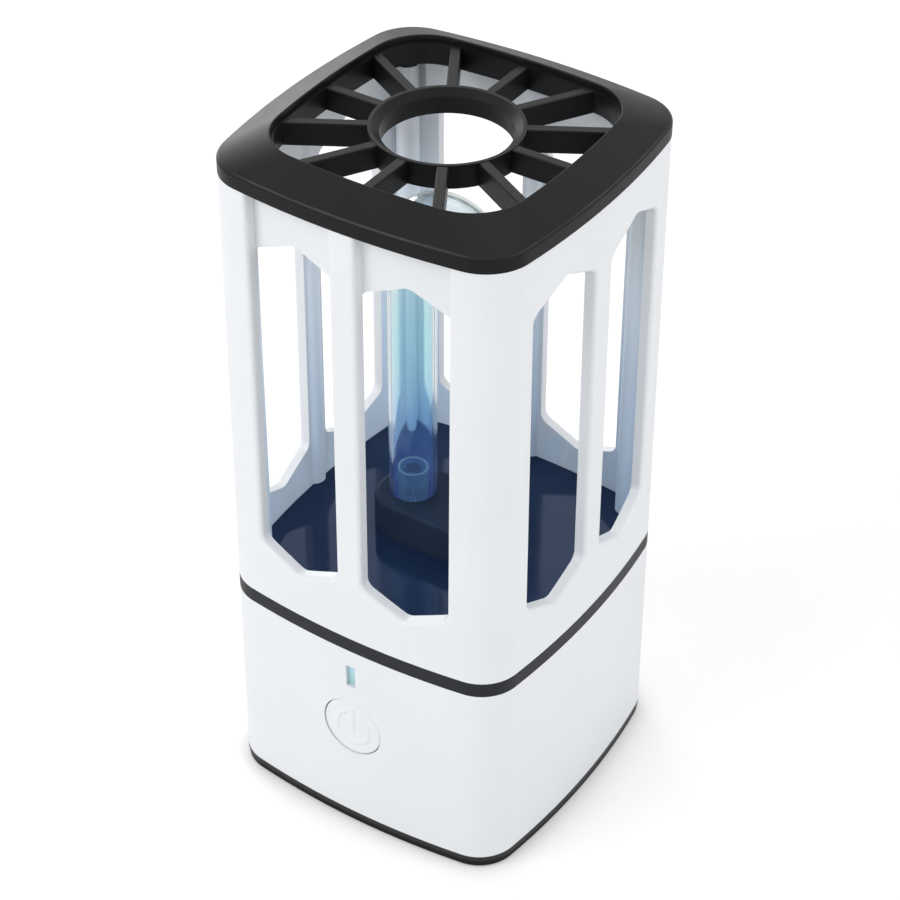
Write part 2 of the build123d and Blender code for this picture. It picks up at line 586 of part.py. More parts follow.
def top_lid():
    """Domed frame with a stepped opening, a skirt and pins that plug into the cage, and the grille."""
    crown = loft(
        [
            outline(LID_HALF, LID_BOW_R, LID_CORNER_R, LID_EDGE_Z),
            outline(RIM_HALF, LEDGE_BOW_R + RIM_LIP, LEDGE_CORNER_R + RIM_LIP, RIM_Z),
        ],
        ruled=True,
    )
    lid = extrude(outline(LID_HALF, LID_BOW_R, LID_CORNER_R, LID_Z), amount=LID_SIDE) + crown
    lid = fillet(edges_at(lid, LID_EDGE_Z), LID_EDGE_R)
    skirt_inset = CAGE_WALL + SKIRT_GAP
    skirt = body_block(SKIRT_Z, LID_Z + WELD, skirt_inset)
    skirt_inside = body_block(SKIRT_Z - OVERSHOOT, LID_Z + LID_CORE, skirt_inset + SKIRT_WALL)
    skirt -= skirt_inside
    notch_half = WINDOW_CENTRE + WINDOW_HALF + POCKET_MARGIN + SKIRT_NOTCH_GAP
    notch_limits = (-BODY_HALF, BODY_HALF)
    skirt -= bar((-notch_half, notch_half), notch_limits, (SKIRT_Z - OVERSHOOT, LID_Z))
    wall_half = OPENING_HALF + OPENING_WALL
    wall = outline(wall_half, OPENING_BOW_R + OPENING_WALL, OPENING_CORNER_R + OPENING_WALL, SPOKE_LOW_Z)
    lid = lid + skirt - (skirt_inside - extrude(wall, amount=RIM_Z - SPOKE_LOW_Z))
    opening = outline(OPENING_HALF, OPENING_BOW_R, OPENING_CORNER_R, SKIRT_Z)
    step = outline(LEDGE_HALF, LEDGE_BOW_R, LEDGE_CORNER_R, SPOKE_TOP_Z)
    lid -= extrude(opening, amount=RIM_Z - SKIRT_Z) + extrude(step, amount=SPOKE_DROP + OVERSHOOT)
    lid = fillet([edge for edge in edges_at(lid, RIM_Z) if on_lip(edge)], RIM_EDGE_R)
    for x, y in corners(POST_XY):
        pin = rod(PIN_R, POST_TOP_Z - PIN_REACH, SKIRT_Z + WELD, x, y)
        lid += chamfer(pin.edges().sort_by(Axis.Z)[0], PIN_R / 3)
    return lid + grille()


def on_lip(edge):
    """Whether an edge at the top of the lid is on the inner side of the rim."""
    middle = edge @ 0.5
    corner_reach = corner_centre(LEDGE_HALF, LEDGE_BOW_R, LEDGE_CORNER_R) * sqrt(2) + LEDGE_CORNER_R
    from_side = abs(max(abs(middle.X), abs(middle.Y)) - LEDGE_HALF)
    from_corner = abs(hypot(middle.X, middle.Y) - corner_reach)
    return min(from_side, from_corner) < RIM_LIP / 2


def grille():
    """Straight spokes that run from the opening wall to a bevelled ring round the middle."""
    levels = (SPOKE_LOW_Z, SPOKE_TOP_Z)
    field = extrude(
        outline(OPENING_HALF + SPOKE_SINK, OPENING_BOW_R, OPENING_CORNER_R + SPOKE_SINK, SPOKE_LOW_Z),
        amount=SPOKE_HEIGHT,
    )
    spokes = []
    for index in range(SPOKES):
        spoke = bar((RING_R - RING_LAND / 2, 2 * OPENING_HALF), (-SPOKE_WIDTH / 2, SPOKE_WIDTH / 2), levels)
        brows = [edge for edge in spoke.edges().filter_by(Axis.X) if edge.center().Z > SPOKE_LOW_Z + WELD]
        spokes.append(Rot(0, 0, 360 / SPOKES * index) * fillet(brows, SPOKE_EDGE_R) & field)
    ring_top = SPOKE_TOP_Z + RING_PROUD
    profile = Polyline(
        (RING_BORE_R, SPOKE_LOW_Z),
        (RING_R, SPOKE_LOW_Z),
        (RING_R, ring_top),
        (RING_R - RING_LAND, ring_top),
        (RING_BORE_R, ring_top - RING_BEVEL),
        close=True,
    )
    ring = revolve(Plane.XZ * make_face(profile), axis=Axis.Z)
    return ring + spokes


def lamp_holder():
    """Moulded block with a socket for each leg of the tube."""
    face = Pos(0, 0, FLOOR_Z) * RectangleRounded(HOLDER_LENGTH, HOLDER_WIDTH, HOLDER_CORNER_R)
    block = extrude(face, amount=HOLDER_HEIGHT)
    block = fillet(block.edges().group_by(Axis.Z)[-1], HOLDER_EDGE_R)
    for x in (-LEG_X, LEG_X):
        block -= rod(TUBE_R + SOCKET_GAP, TUBE_Z, FLOOR_Z + HOLDER_HEIGHT + OVERSHOOT, x)
        block -= rod(LEAD_R + LEAD_GAP / 2, FLOOR_Z - OVERSHOOT, TUBE_Z + OVERSHOOT, x)
    for y in (-HOLDER_SCREW_Y, HOLDER_SCREW_Y):
        pilot_top = FLOOR_Z + HOLDER_SCREW_REACH + OVERSHOOT
        block -= rod(HOLDER_SCREW_R + THREAD_GAP, FLOOR_Z - OVERSHOOT, pilot_top, 0, y)
    return block


def holder_screws():
    """Screws up through the chamber floor into the lamp holder."""
    seat_z = FLOOR_Z - TRAY_PLATE
    reach = TRAY_PLATE + HOLDER_SCREW_REACH
    return Part() + [
        screw(HOLDER_SCREW_R, reach, HOLDER_HEAD_R, HOLDER_HEAD, seat_z, 0, y)
        for y in (-HOLDER_SCREW_Y, HOLDER_SCREW_Y)
    ]


def u_bend(radius):
    """Round bar bent into an upside-down U."""
    legs = [rod(radius, TUBE_Z, BEND_Z, x) for x in (-LEG_X, LEG_X)]
    section = Plane.XY * Pos(LEG_X, 0) * Circle(radius)
    half_turn = revolve(section, axis=Axis.Y, revolution_arc=-180)
    return legs[0] + legs[1] + Pos(0, 0, BEND_Z) * half_turn


def uv_tube():
    """Quartz tube with two legs and one bend."""
    return u_bend(TUBE_R) - u_bend(TUBE_R - TUBE_WALL)


def turned(points, x):
    """Solid turned from a half profile of radius and height, about an upright axis."""
    profile = Plane.XZ * make_face(Polyline(*points, close=True))
    return Pos(x, 0, 0) * revolve(profile, axis=Axis.Z)


def electrode_stems():
    """Open glass stems inside the legs, each on a foot that closes the end of the tube."""
    bore = ELECTRODE_WIRE_R + STEM_GAP
    foot_r = TUBE_R - TUBE_WALL - STEM_GAP
    foot_z = TUBE_Z + STEM_FOOT
    points = [
        (bore, TUBE_Z),
        (foot_r, TUBE_Z),
        (foot_r, foot_z),
        (STEM_R, foot_z + STEM_FOOT),
        (STEM_R, TUBE_Z + STEM_HEIGHT),
        (STEM_R - STEM_WALL, TUBE_Z + STEM_HEIGHT),
        (STEM_R - STEM_WALL, foot_z),
        (bore, foot_z),
    ]
    return Part() + [turned(points, x) for x in (-LEG_X, LEG_X)]


def electrodes():
    """Metal cups on wires, one inside each stem."""
    cup_z = TUBE_Z + ELECTRODE_RISE
    points = [
        (0, TUBE_Z),
        (ELECTRODE_WIRE_R, TUBE_Z),
        (ELECTRODE_WIRE_R, cup_z),
        (ELECTRODE_CUP_R, cup_z),
        (ELECTRODE_CUP_R, cup_z + ELECTRODE_CUP),
        (ELECTRODE_CUP_R - ELECTRODE_CUP_WALL, cup_z + ELECTRODE_CUP),
        (ELECTRODE_CUP_R - ELECTRODE_CUP_WALL, cup_z + ELECTRODE_CUP_WALL),
        (0, cup_z + ELECTRODE_CUP_WALL),
    ]
    return Part() + [turned(points, x) for x in (-LEG_X, LEG_X)]


def lamp_leads():
    """Insulated wires straight down from the tube to the main board."""
    return Part() + [rod(LEAD_R, BOARD_TOP_Z, TUBE_Z, x) for x in (-LEG_X, LEG_X)]


def battery_cell():
    """Flat pouch cell with soft long edges."""
    face = Plane.YZ * RectangleRounded(BATTERY_WIDTH, BATTERY_HEIGHT, BATTERY_EDGE_R)
    cell = extrude(face, amount=BATTERY_LENGTH / 2, both=True)
    return Pos(0, 0, CELL_Z + BATTERY_HEIGHT / 2) * cell


def battery_pad():
    """Foam sheet between the cell and the cover."""
    face = RectangleRounded(BATTERY_LENGTH - 2 * PAD_INSET, BATTERY_WIDTH - 2 * BATTERY_EDGE_R, PAD_INSET)
    return extrude(Pos(0, 0, PAD_Z) * face, amount=PAD_HEIGHT)


def battery_tabs():
    """Nickel strips from the end of the cell up to the underside of the board."""
    end_x = BATTERY_LENGTH / 2
    low_z = CELL_Z + TAB_RISE
    tabs = []
    for y in (-TAB_SPACING / 2, TAB_SPACING / 2):
        across = (y - TAB_WIDTH / 2, y + TAB_WIDTH / 2)
        flat = bar((end_x, end_x + TAB_REACH), across, (low_z, low_z + TAB_THICKNESS))
        upright = bar((end_x + TAB_REACH - TAB_THICKNESS, end_x + TAB_REACH), across, (low_z, BOARD_Z))
        tabs.append(flat + upright)
    return Part() + tabs


def main_board():
    """Cross-shaped board that clears the bosses, with a tab that carries the charging socket."""
    tab_end = half_at(BOARD_Z) - BASE_WALL - BOARD_TAB_GAP
    levels = (BOARD_Z, BOARD_TOP_Z)
    board = bar((-BOARD_WIDE / 2, BOARD_WIDE / 2), (-BOARD_WIDE_DEPTH / 2, BOARD_WIDE_DEPTH / 2), levels)
    board += bar((-BOARD_LONG_WIDTH / 2, BOARD_LONG_WIDTH / 2), (-BOARD_LONG / 2, BOARD_LONG / 2), levels)
    board += bar((-BOARD_TAB_WIDTH / 2, BOARD_TAB_WIDTH / 2), (0, tab_end), levels)
    for sx, sy in QUARTERS:
        board -= rod(BOARD_SCREW_R + SHANK_GAP, BOARD_Z - OVERSHOOT, BOARD_TOP_Z + OVERSHOOT,
                     sx * STANDOFF_X, sy * STANDOFF_Y)
    return board


def board_screws():
    """Screws down through the main board into the standoffs of the cover."""
    screws = []
    for sx, sy in QUARTERS:
        upright = screw(BOARD_SCREW_R, BOARD + BOARD_SCREW_REACH, BOARD_HEAD_R, BOARD_HEAD, 0, 0, 0)
        screws.append(Pos(sx * STANDOFF_X, sy * STANDOFF_Y, BOARD_TOP_Z) * Rot(180, 0, 0) * upright)
    return Part() + screws


def transformer_core():
    """Closed ferrite frame with a round middle leg, standing on the main board."""
    half = CORE_LENGTH / 2
    x = (COIL_X - half, COIL_X + half)
    z = (BOARD_TOP_Z, BOARD_TOP_Z + CORE_HEIGHT)
    frame = bar(x, (-CORE_WIDTH / 2, CORE_WIDTH / 2), z)
    gap_x = (x[0] + CORE_LEG, x[1] - CORE_LEG)
    gap_z = (z[0] + CORE_LEG, z[1] - CORE_LEG)
    frame -= bar(gap_x, (-CORE_WIDTH, CORE_WIDTH), gap_z)
    return frame + rod(CORE_LEG / 2, gap_z[0] - WELD, gap_z[1] + WELD, COIL_X)


def transformer_coil():
    """Flanged bobbin with its winding round the middle leg of the core."""
    low_z = BOARD_TOP_Z + CORE_LEG + COIL_GAP
    high_z = BOARD_TOP_Z + CORE_HEIGHT - CORE_LEG - COIL_GAP
    flange_r = CORE_LENGTH / 2 - CORE_LEG - COIL_GAP
    coil = rod(COIL_R, low_z, high_z, COIL_X)
    coil += rod(flange_r, low_z, low_z + COIL_FLANGE, COIL_X)
    coil += rod(flange_r, high_z - COIL_FLANGE, high_z, COIL_X)
    return coil - rod(CORE_LEG / 2 + COIL_GAP, low_z - OVERSHOOT, high_z + OVERSHOOT, COIL_X)


def capacitors():
    """Upright cans with a rolled groove near the foot and a soft top edge."""
    cans = []
    for y in (-CAPACITOR_SPACING / 2, CAPACITOR_SPACING / 2):
        can = rod(CAPACITOR_R, BOARD_TOP_Z, BOARD_TOP_Z + CAPACITOR_HEIGHT, -CAPACITOR_X, y)
        can = fillet(can.edges().sort_by(Axis.Z)[-1], CAPACITOR_EDGE_R)
        groove = Pos(-CAPACITOR_X, y, BOARD_TOP_Z + CAPACITOR_R / 2) * Torus(CAPACITOR_R, CAPACITOR_GROOVE)
        cans.append(can - groove)
    return Part() + cans


def board_chips():
    """Flat packages soldered on the main board."""
    chips = []
    for side, places in ((1, BACK_CHIPS), (-1, FRONT_CHIPS)):
        for x, room, length, width in places:
            place = Pos(x, side * (BODY_HALF - room), BOARD_TOP_Z)
            chip = place * Box(length, width, CHIP_HEIGHT, align=BOTTOM)
            chips.append(chamfer(chip.edges().group_by(Axis.Z)[-1], CHIP_HEIGHT / 8))
    return Part() + chips


def socket_mouth():
    """Y of the charging socket's mouth, a little behind the outer face."""
    return half_at(SOCKET_Z) - SOCKET_RECESS


def usb_shell():
    """Metal sleeve of the charging socket."""
    back_y = socket_mouth()
    front_y = back_y - SOCKET_LENGTH
    bore = charging_slot(-SOCKET_SHELL, front_y - OVERSHOOT, back_y + OVERSHOOT)
    return charging_slot(0, front_y, back_y) - bore


def usb_tongue():
    """Contact block that closes the inner end of the socket, with its flat tongue."""
    back_y = socket_mouth()
    front_y = back_y - SOCKET_LENGTH
    block = charging_slot(-SOCKET_SHELL, front_y, front_y + SOCKET_BLOCK)
    height = (SOCKET_Z - TONGUE_HEIGHT / 2, SOCKET_Z + TONGUE_HEIGHT / 2)
    return block + bar((-TONGUE_WIDTH / 2, TONGUE_WIDTH / 2), (front_y, back_y - TONGUE_RECESS), height)


def switch_board():
    """Small upright board that stands on the main board and carries switch and indicator."""
    half = SWITCH_BOARD_WIDTH / 2
    levels = (BOARD_TOP_Z, DECK_Z - SWITCH_BOARD_GAP)
    return bar((-half, half), (SWITCH_BOARD_Y, SWITCH_BOARD_Y + BOARD), levels)


def switch_case():
    """Square body of the switch with the bore that its plunger slides in."""
    half = SWITCH_SIZE / 2
    case = bar((-half, half), (SWITCH_FRONT_Y, SWITCH_BOARD_Y), (BUTTON_Z - half, BUTTON_Z + half))
    case = chamfer(case.edges().group_by(Axis.Y)[0], SWITCH_DEPTH / 10)
    bore_end = SWITCH_FRONT_Y + PLUNGER_SINK + BUTTON_TRAVEL + PLUNGER_OVERTRAVEL
    return case - rod_y(PLUNGER_R + PLUNGER_GAP, SWITCH_FRONT_Y - OVERSHOOT, bore_end, BUTTON_Z)


def switch_plunger():
    """Round plunger between the stud of the button and the inside of the switch."""
    return rod_y(PLUNGER_R, PLUNGER_TIP_Y, SWITCH_FRONT_Y + PLUNGER_SINK, BUTTON_Z)


def power_button():
    """Round cap flush with the front, with a flange behind the wall and a stud on the plunger."""
    face = rod_y(BUTTON_R, -BODY_HALF - OVERSHOOT, FLANGE_Y + WELD, BUTTON_Z) & body_block(BASE_Z, BAND_Z)
    rim = [edge for edge in face.edges() if (edge @ 0.25).Y < FRONT_WALL_Y - BASE_WALL / 2
           and (edge @ 0.75).Y < FRONT_WALL_Y - BASE_WALL / 2]
    cap = fillet(rim, BUTTON_EDGE_R) + rod_y(BUTTON_FLANGE_R, FLANGE_Y, FLANGE_BACK_Y, BUTTON_Z)
    core = rod_y(BUTTON_CORE_R, FLANGE_BACK_Y - BUTTON_CORE, FLANGE_BACK_Y + OVERSHOOT, BUTTON_Z)
    core -= rod_y(BUTTON_STUD_R, FLANGE_Y - OVERSHOOT, PLUNGER_TIP_Y, BUTTON_Z)
    return cap - core + rod_y(BUTTON_STUD_R, FLANGE_BACK_Y - BUTTON_CORE - WELD, PLUNGER_TIP_Y, BUTTON_Z)


def led_chip():
    """Indicator diode on the switch board."""
    half_x = CHIP_LED_WIDTH / 2
    half_z = CHIP_LED_HEIGHT / 2
    limits_y = (SWITCH_BOARD_Y - CHIP_LED_DEPTH, SWITCH_BOARD_Y)
    chip = bar((-half_x, half_x), limits_y, (INDICATOR_Z - half_z, INDICATOR_Z + half_z))
    return chamfer(chip.edges().group_by(Axis.Y)[0], CHIP_LED_DEPTH / 8)


def light_pipe():
    """Clear bar that fills the slot in the front and leads back to the diode."""
    half_x = INDICATOR_WIDTH / 2
    half_z = INDICATOR_HEIGHT / 2
    end_y = SWITCH_BOARD_Y - CHIP_LED_DEPTH - LED_GAP
    levels = (INDICATOR_Z - half_z, INDICATOR_Z + half_z)
    behind_front = body_block(BASE_Z, BAND_Z, INDICATOR_RECESS)
    pipe = bar((-half_x, half_x), (-BODY_HALF - OVERSHOOT, end_y), levels) & behind_front
    lip_x = half_x + INDICATOR_LIP
    lip_z = (levels[0] - INDICATOR_LIP, levels[1] + INDICATOR_LIP)
    behind = body_block(BASE_Z, BAND_Z, BASE_WALL + THREAD_GAP)
    lip_y = (-BODY_HALF, FRONT_WALL_Y + THREAD_GAP + INDICATOR_FLANGE)
    return pipe + (bar((-lip_x, lip_x), lip_y, lip_z) & behind)


NODES = [
    rubber_feet, bottom_cover, bottom_screws, base_housing, lamp_tray, cage, cage_screws, top_lid,
    lamp_holder, holder_screws, uv_tube, electrode_stems, electrodes, lamp_leads,
    battery_cell, battery_pad, battery_tabs, main_board, board_screws, transformer_core,
    transformer_coil, capacitors, board_chips, usb_shell, usb_tongue,
    switch_board, switch_case, switch_plunger, power_button, led_chip, light_pipe,
]

os.makedirs("parts", exist_ok=True)
for node in NODES:
    export_step(node(), f"parts/{node.__name__}.step")
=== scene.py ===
"""Visual model of a caged ultraviolet lamp: finishes, fine trim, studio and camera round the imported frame."""
import json
import logging
import math
from abc import ABC, abstractmethod
from dataclasses import dataclass, field
from enum import Enum
from typing import Any, Callable, Mapping, Sequence, Union

import bmesh
import bpy
from mathutils import Matrix, Vector


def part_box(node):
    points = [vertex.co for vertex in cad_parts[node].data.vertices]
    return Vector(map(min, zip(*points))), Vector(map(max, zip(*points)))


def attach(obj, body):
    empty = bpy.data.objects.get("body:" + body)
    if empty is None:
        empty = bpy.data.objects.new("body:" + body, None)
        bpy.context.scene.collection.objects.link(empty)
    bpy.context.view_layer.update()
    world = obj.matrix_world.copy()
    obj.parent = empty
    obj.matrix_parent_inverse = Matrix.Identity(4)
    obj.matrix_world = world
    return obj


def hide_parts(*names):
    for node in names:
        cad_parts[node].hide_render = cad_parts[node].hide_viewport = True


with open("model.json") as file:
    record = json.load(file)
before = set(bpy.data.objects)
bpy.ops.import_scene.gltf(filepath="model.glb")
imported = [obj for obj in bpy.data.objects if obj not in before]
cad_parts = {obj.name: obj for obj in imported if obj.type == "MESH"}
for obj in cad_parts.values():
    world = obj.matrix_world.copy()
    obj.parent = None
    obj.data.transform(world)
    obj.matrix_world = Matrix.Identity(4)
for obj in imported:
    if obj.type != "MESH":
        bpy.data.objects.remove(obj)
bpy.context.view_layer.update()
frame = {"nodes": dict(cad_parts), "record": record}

log = logging.getLogger("uv_lamp")

MM = 0.001
Colour = tuple[float, float, float]
Point = tuple[float, float, float]
Band = tuple[float, float]
BLACK: Colour = (0.0, 0.0, 0.0)
GLASS_IOR = 1.46


class Body(Enum):
    """The two rigid bodies of the lamp."""

    HOUSING = "housing"
    BUTTON = "button"


class Signal:
    """A number that varies over a surface: one shader socket, with arithmetic that adds Math nodes."""

    def __init__(self, bench: "ShaderBench", socket: bpy.types.NodeSocket) -> None:
        """Wrap a socket.

        Args:
            bench: The node tree that the socket belongs to.
            socket: An output socket that carries a number.
        """
        self.bench = bench
        self.socket = socket

    def combine(self, operation: str, left: "Number", right: "Number" = 0.0) -> "Signal":
        """Add one Math node.

        Args:
            operation: The node's operation, in Blender's spelling.
            left: First operand.
            right: Second operand.

        Returns:
            The result as a new signal.
        """
        node = self.bench.node("ShaderNodeMath", {"operation": operation}, {0: left, 1: right})
        return Signal(self.bench, node.outputs[0])

    def __add__(self, other: "Number") -> "Signal":
        """Sum of two signals."""
        return self.combine("ADD", self, other)

    __radd__ = __add__

    def __sub__(self, other: "Number") -> "Signal":
        """Difference of two signals."""
        return self.combine("SUBTRACT", self, other)

    def __rsub__(self, other: "Number") -> "Signal":
        """Difference with the signal on the right."""
        return self.combine("SUBTRACT", other, self)

    def __mul__(self, other: "Number") -> "Signal":
        """Product of two signals."""
        return self.combine("MULTIPLY", self, other)

    __rmul__ = __mul__

    def __abs__(self) -> "Signal":
        """Size of a signal without its sign."""
        return self.combine("ABSOLUTE", self)

    def larger(self, other: "Number") -> "Signal":
        """The larger of two signals."""
        return self.combine("MAXIMUM", self, other)

    def smaller(self, other: "Number") -> "Signal":
        """The smaller of two signals."""
        return self.combine("MINIMUM", self, other)

    def over(self, limit: float) -> "Signal":
        """1 where the signal is above a limit, otherwise 0."""
        return self.combine("GREATER_THAN", self, limit)

    def root(self) -> "Signal":
        """Square root of a signal."""
        return self.combine("SQRT", self)

    def rise(self, low: float, high: float) -> "Signal":
        """Smooth step from 0 at low to 1 at high.

        Args:
            low: Value at which the step starts.
            high: Value at which it ends. It may be below low, for a falling step.

        Returns:
            The step as a new signal.
        """
        settings = {"interpolation_type": "SMOOTHSTEP"}
        values = {"Value": self, "From Min": low, "From Max": high, "To Min": 0.0, "To Max": 1.0}
        if high < low:
            values |= {"From Min": high, "From Max": low, "To Min": 1.0, "To Max": 0.0}
        return Signal(self.bench, self.bench.node("ShaderNodeMapRange", settings, values).outputs[0])


Number = Union[Signal, float]
Value = Union[Signal, bpy.types.NodeSocket, float, Sequence[float]]


class ShaderBench:
    """The node tree of one material or of the world."""

    # Places of the colour sockets among those of a Mix node
    MIX_FACTOR, MIX_LOW, MIX_HIGH = 0, 6, 7
    MIX_COLOUR = 2

    def __init__(self, owner: Union[bpy.types.Material, bpy.types.World], shader: str) -> None:
        """Start from the shader that a new owner comes with.

        Args:
            owner: A new material or world.
            shader: The name of that shader's node.
        """
        owner.use_nodes = True
        self.owner = owner
        self.tree = owner.node_tree
        self.surface = self.tree.nodes[shader]

    @classmethod
    def for_material(cls, name: str) -> "ShaderBench":
        """Bench of a new material."""
        return cls(bpy.data.materials.new(name), "Principled BSDF")

    @classmethod
    def for_world(cls, name: str) -> "ShaderBench":
        """Bench of a new world."""
        return cls(bpy.data.worlds.new(name), "Background")

    def node(
        self, kind: str, settings: Mapping[str, Any] | None = None, values: Mapping[Any, Value] | None = None
    ) -> bpy.types.Node:
        """Add a node.

        Args:
            kind: The node's type.
            settings: Properties of the node, and "stops" for a ramp's positions and colours.
            values: What each input socket holds or is linked to.

        Returns:
            The new node.
        """
        made = self.tree.nodes.new(kind)
        for name, setting in (settings or {}).items():
            if name == "stops":
                self._set_stops(made.color_ramp, setting)
            else:
                setattr(made, name, setting)
        for name, value in (values or {}).items():
            self.plug(made.inputs[name], value)
        return made

    @staticmethod
    def _set_stops(ramp: bpy.types.ColorRamp, stops: Sequence[tuple[float, Colour]]) -> None:
        """Give a ramp its stops.

        Args:
            ramp: The ramp, with its two default stops.
            stops: Positions and colours, in order.
        """
        while len(ramp.elements) < len(stops):
            ramp.elements.new(1.0)
        for element, (position, colour) in zip(ramp.elements, stops):
            element.position = position
            element.color = (*colour, 1.0)

    def plug(self, socket: bpy.types.NodeSocket, value: Value) -> None:
        """Link a signal or socket to an input, or set the input's own value.

        Args:
            socket: The input.
            value: A signal, a socket, or a constant.
        """
        if isinstance(value, Signal):
            self.tree.links.new(value.socket, socket)
        elif isinstance(value, bpy.types.NodeSocket):
            self.tree.links.new(value, socket)
        else:
            socket.default_value = value

    def set(self, **values: Value) -> None:
        """Set inputs of the shader by name, with underscores for spaces."""
        for name, value in values.items():
            self.plug(self.surface.inputs[name.replace("_", " ")], value)

    def place(self) -> bpy.types.NodeSocket:
        """Position in the piece's own space, in metres, which moves with its body."""
        return self.node("ShaderNodeTexCoord").outputs["Object"]

    def axes(self) -> tuple[Signal, Signal, Signal]:
        """The three coordinates of the position as signals."""
        split = self.node("ShaderNodeSeparateXYZ", values={"Vector": self.place()})
        return tuple(Signal(self, output) for output in split.outputs)

    def noise(self, size: float, detail: float = 2.0, stretch: Point = (1.0, 1.0, 1.0)) -> Signal:
        """Soft noise over the surface.

        Args:
            size: Size of one blot in metres.
            detail: Number of finer octaves.
            stretch: Scale along each axis, below 1 for longer blots.

        Returns:
            The noise from 0 to 1.
        """
        values = {"Vector": self.place(), "Scale": stretch}
        scaled = self.node("ShaderNodeMapping", {"vector_type": "POINT"}, values)
        values = {"Vector": scaled.outputs[0], "Scale": 1.0 / size, "Detail": detail}
        return Signal(self, self.node("ShaderNodeTexNoise", values=values).outputs[0])

    def cells(self, size: float) -> Signal:
        """Distance to the nearest of many scattered points, for a pebbled grain.

        Args:
            size: Spacing of the points in metres.

        Returns:
            The distance from 0 to about 1.
        """
        values = {"Vector": self.place(), "Scale": 1.0 / size}
        return Signal(self, self.node("ShaderNodeTexVoronoi", {"feature": "F1"}, values).outputs[0])

    def blend(self, amount: Number, low: Value, high: Value) -> bpy.types.NodeSocket:
        """Mix two colours.

        Args:
            amount: Share of the second colour.
            low: First colour.
            high: Second colour.

        Returns:
            The mixed colour's socket.
        """
        mix = self.node("ShaderNodeMix", {"data_type": "RGBA", "clamp_factor": True})
        self.plug(mix.inputs[self.MIX_FACTOR], amount)
        for index, colour in ((self.MIX_LOW, low), (self.MIX_HIGH, high)):
            self.plug(mix.inputs[index], (*colour, 1.0) if isinstance(colour, tuple) else colour)
        return mix.outputs[self.MIX_COLOUR]

    def ramp(self, amount: Signal, stops: Sequence[tuple[float, Colour]]) -> bpy.types.NodeSocket:
        """Colour that follows a signal through several stops.

        Args:
            amount: The signal, from 0 to 1.
            stops: Positions and colours, in order.

        Returns:
            The colour's socket.
        """
        return self.node("ShaderNodeValToRGB", {"stops": stops}, {"Fac": amount}).outputs[0]

    def relief(self, height: Signal, depth: float) -> None:
        """Feed a bump to the shader's normal.

        Args:
            height: The relief from 0 to 1.
            depth: Its depth in metres.
        """
        bump = self.node("ShaderNodeBump", values={"Strength": 1.0, "Distance": depth, "Height": height})
        self.set(Normal=bump.outputs[0])


@dataclass(frozen=True)
class Finish(ABC):
    """What one material slot of the record looks like."""

    slot: str

    @abstractmethod
    def paint(self, bench: ShaderBench) -> None:
        """Fill the material's node tree.

        Args:
            bench: The material's bench.
        """

    def material(self) -> bpy.types.Material:
        """Build the material.

        Returns:
            The material, with its node tree filled.
        """
        bench = ShaderBench.for_material(self.slot)
        self.paint(bench)
        return bench.owner


@dataclass(frozen=True)
class MouldedPlastic(Finish):
    """Injection moulded plastic with a fine spark-eroded grain and faint handling marks."""

    colour: Colour = (0.8, 0.8, 0.8)
    shade: Colour = (0.75, 0.75, 0.75)
    drift_size: float = 26 * MM
    drift_band: Band = (0.3, 0.7)
    roughness: float = 0.4
    roughness_drift: float = 0.06
    specular: float = 0.5
    grain: float = 0.22 * MM
    grain_depth: float = 0.006 * MM
    pebble_share: float = 0.3
    pebble_scale: float = 1.8
    mark_size: float = 7 * MM
    mark_stretch: Point = (1.0, 1.0, 0.35)

    def tone(self, bench: ShaderBench) -> Value:
        """Base colour: two close tones that drift slowly over the moulding.

        Args:
            bench: The material's bench.

        Returns:
            The base colour.
        """
        drift = bench.noise(self.drift_size, detail=3.0).rise(*self.drift_band)
        return bench.blend(drift, self.colour, self.shade)

    def paint(self, bench: ShaderBench) -> None:
        """Fill the material's node tree.

        Args:
            bench: The material's bench.
        """
        marks = bench.noise(self.mark_size, detail=4.0, stretch=self.mark_stretch)
        roughness = self.roughness + (marks - 0.5) * (2 * self.roughness_drift)
        pebbles = bench.cells(self.grain * self.pebble_scale) * self.pebble_share
        grain = bench.noise(self.grain) * (1 - self.pebble_share) + pebbles
        bench.set(Base_Color=self.tone(bench), Roughness=roughness)
        bench.set(Specular_IOR_Level=self.specular)
        bench.relief(grain, self.grain_depth)


@dataclass(frozen=True)
class LidBlack(MouldedPlastic):
    """Black plastic with a painted highlight: a pale line along the brow, strongest along the straight sides.
    """

    lid_z: float = 146 * MM
    brow_drop: float = 3.15 * MM
    brow_half: float = 0.11 * MM
    brow_soft: float = 0.4
    brow_reach: float = 27 * MM
    brow_straight: float = 20 * MM
    brow_corner: float = 25 * MM
    # Colour of the painted highlight line along the brow
    brow_highlight_colour: Colour = (0.04, 0.04, 0.042)
    corner_share: float = 0.4
    highlight_patch_size: float = 9 * MM
    highlight_patch_band: Band = (0.3, 0.6)
    highlight_patch_share: float = 0.5

    def tone(self, bench: ShaderBench) -> Value:
        """Base colour: the two drifting tones, and a painted highlight line along the brow.

        Args:
            bench: The material's bench.

        Returns:
            The base colour.
        """
        x, y, z = bench.axes()
        outside = abs(x).larger(abs(y)).over(self.brow_reach)
        # Noise that breaks the painted brow highlight into patches
        worn = bench.noise(self.highlight_patch_size, detail=3.0).rise(*self.highlight_patch_band)
        highlight_patchiness = worn * (1 - self.highlight_patch_share) + self.highlight_patch_share
        straight = abs(x).smaller(abs(y)).rise(self.brow_corner, self.brow_straight)
        fade = straight * (1 - self.corner_share) + self.corner_share
        away = abs(z - (self.lid_z - self.brow_drop))
        line = away.rise((1 + self.brow_soft) * self.brow_half, (1 - self.brow_soft) * self.brow_half)
        # The pale line is a painted highlight where the rounded brow catches the light
        return bench.blend(line * outside * highlight_patchiness * fade, MouldedPlastic.tone(self, bench), self.brow_highlight_colour)


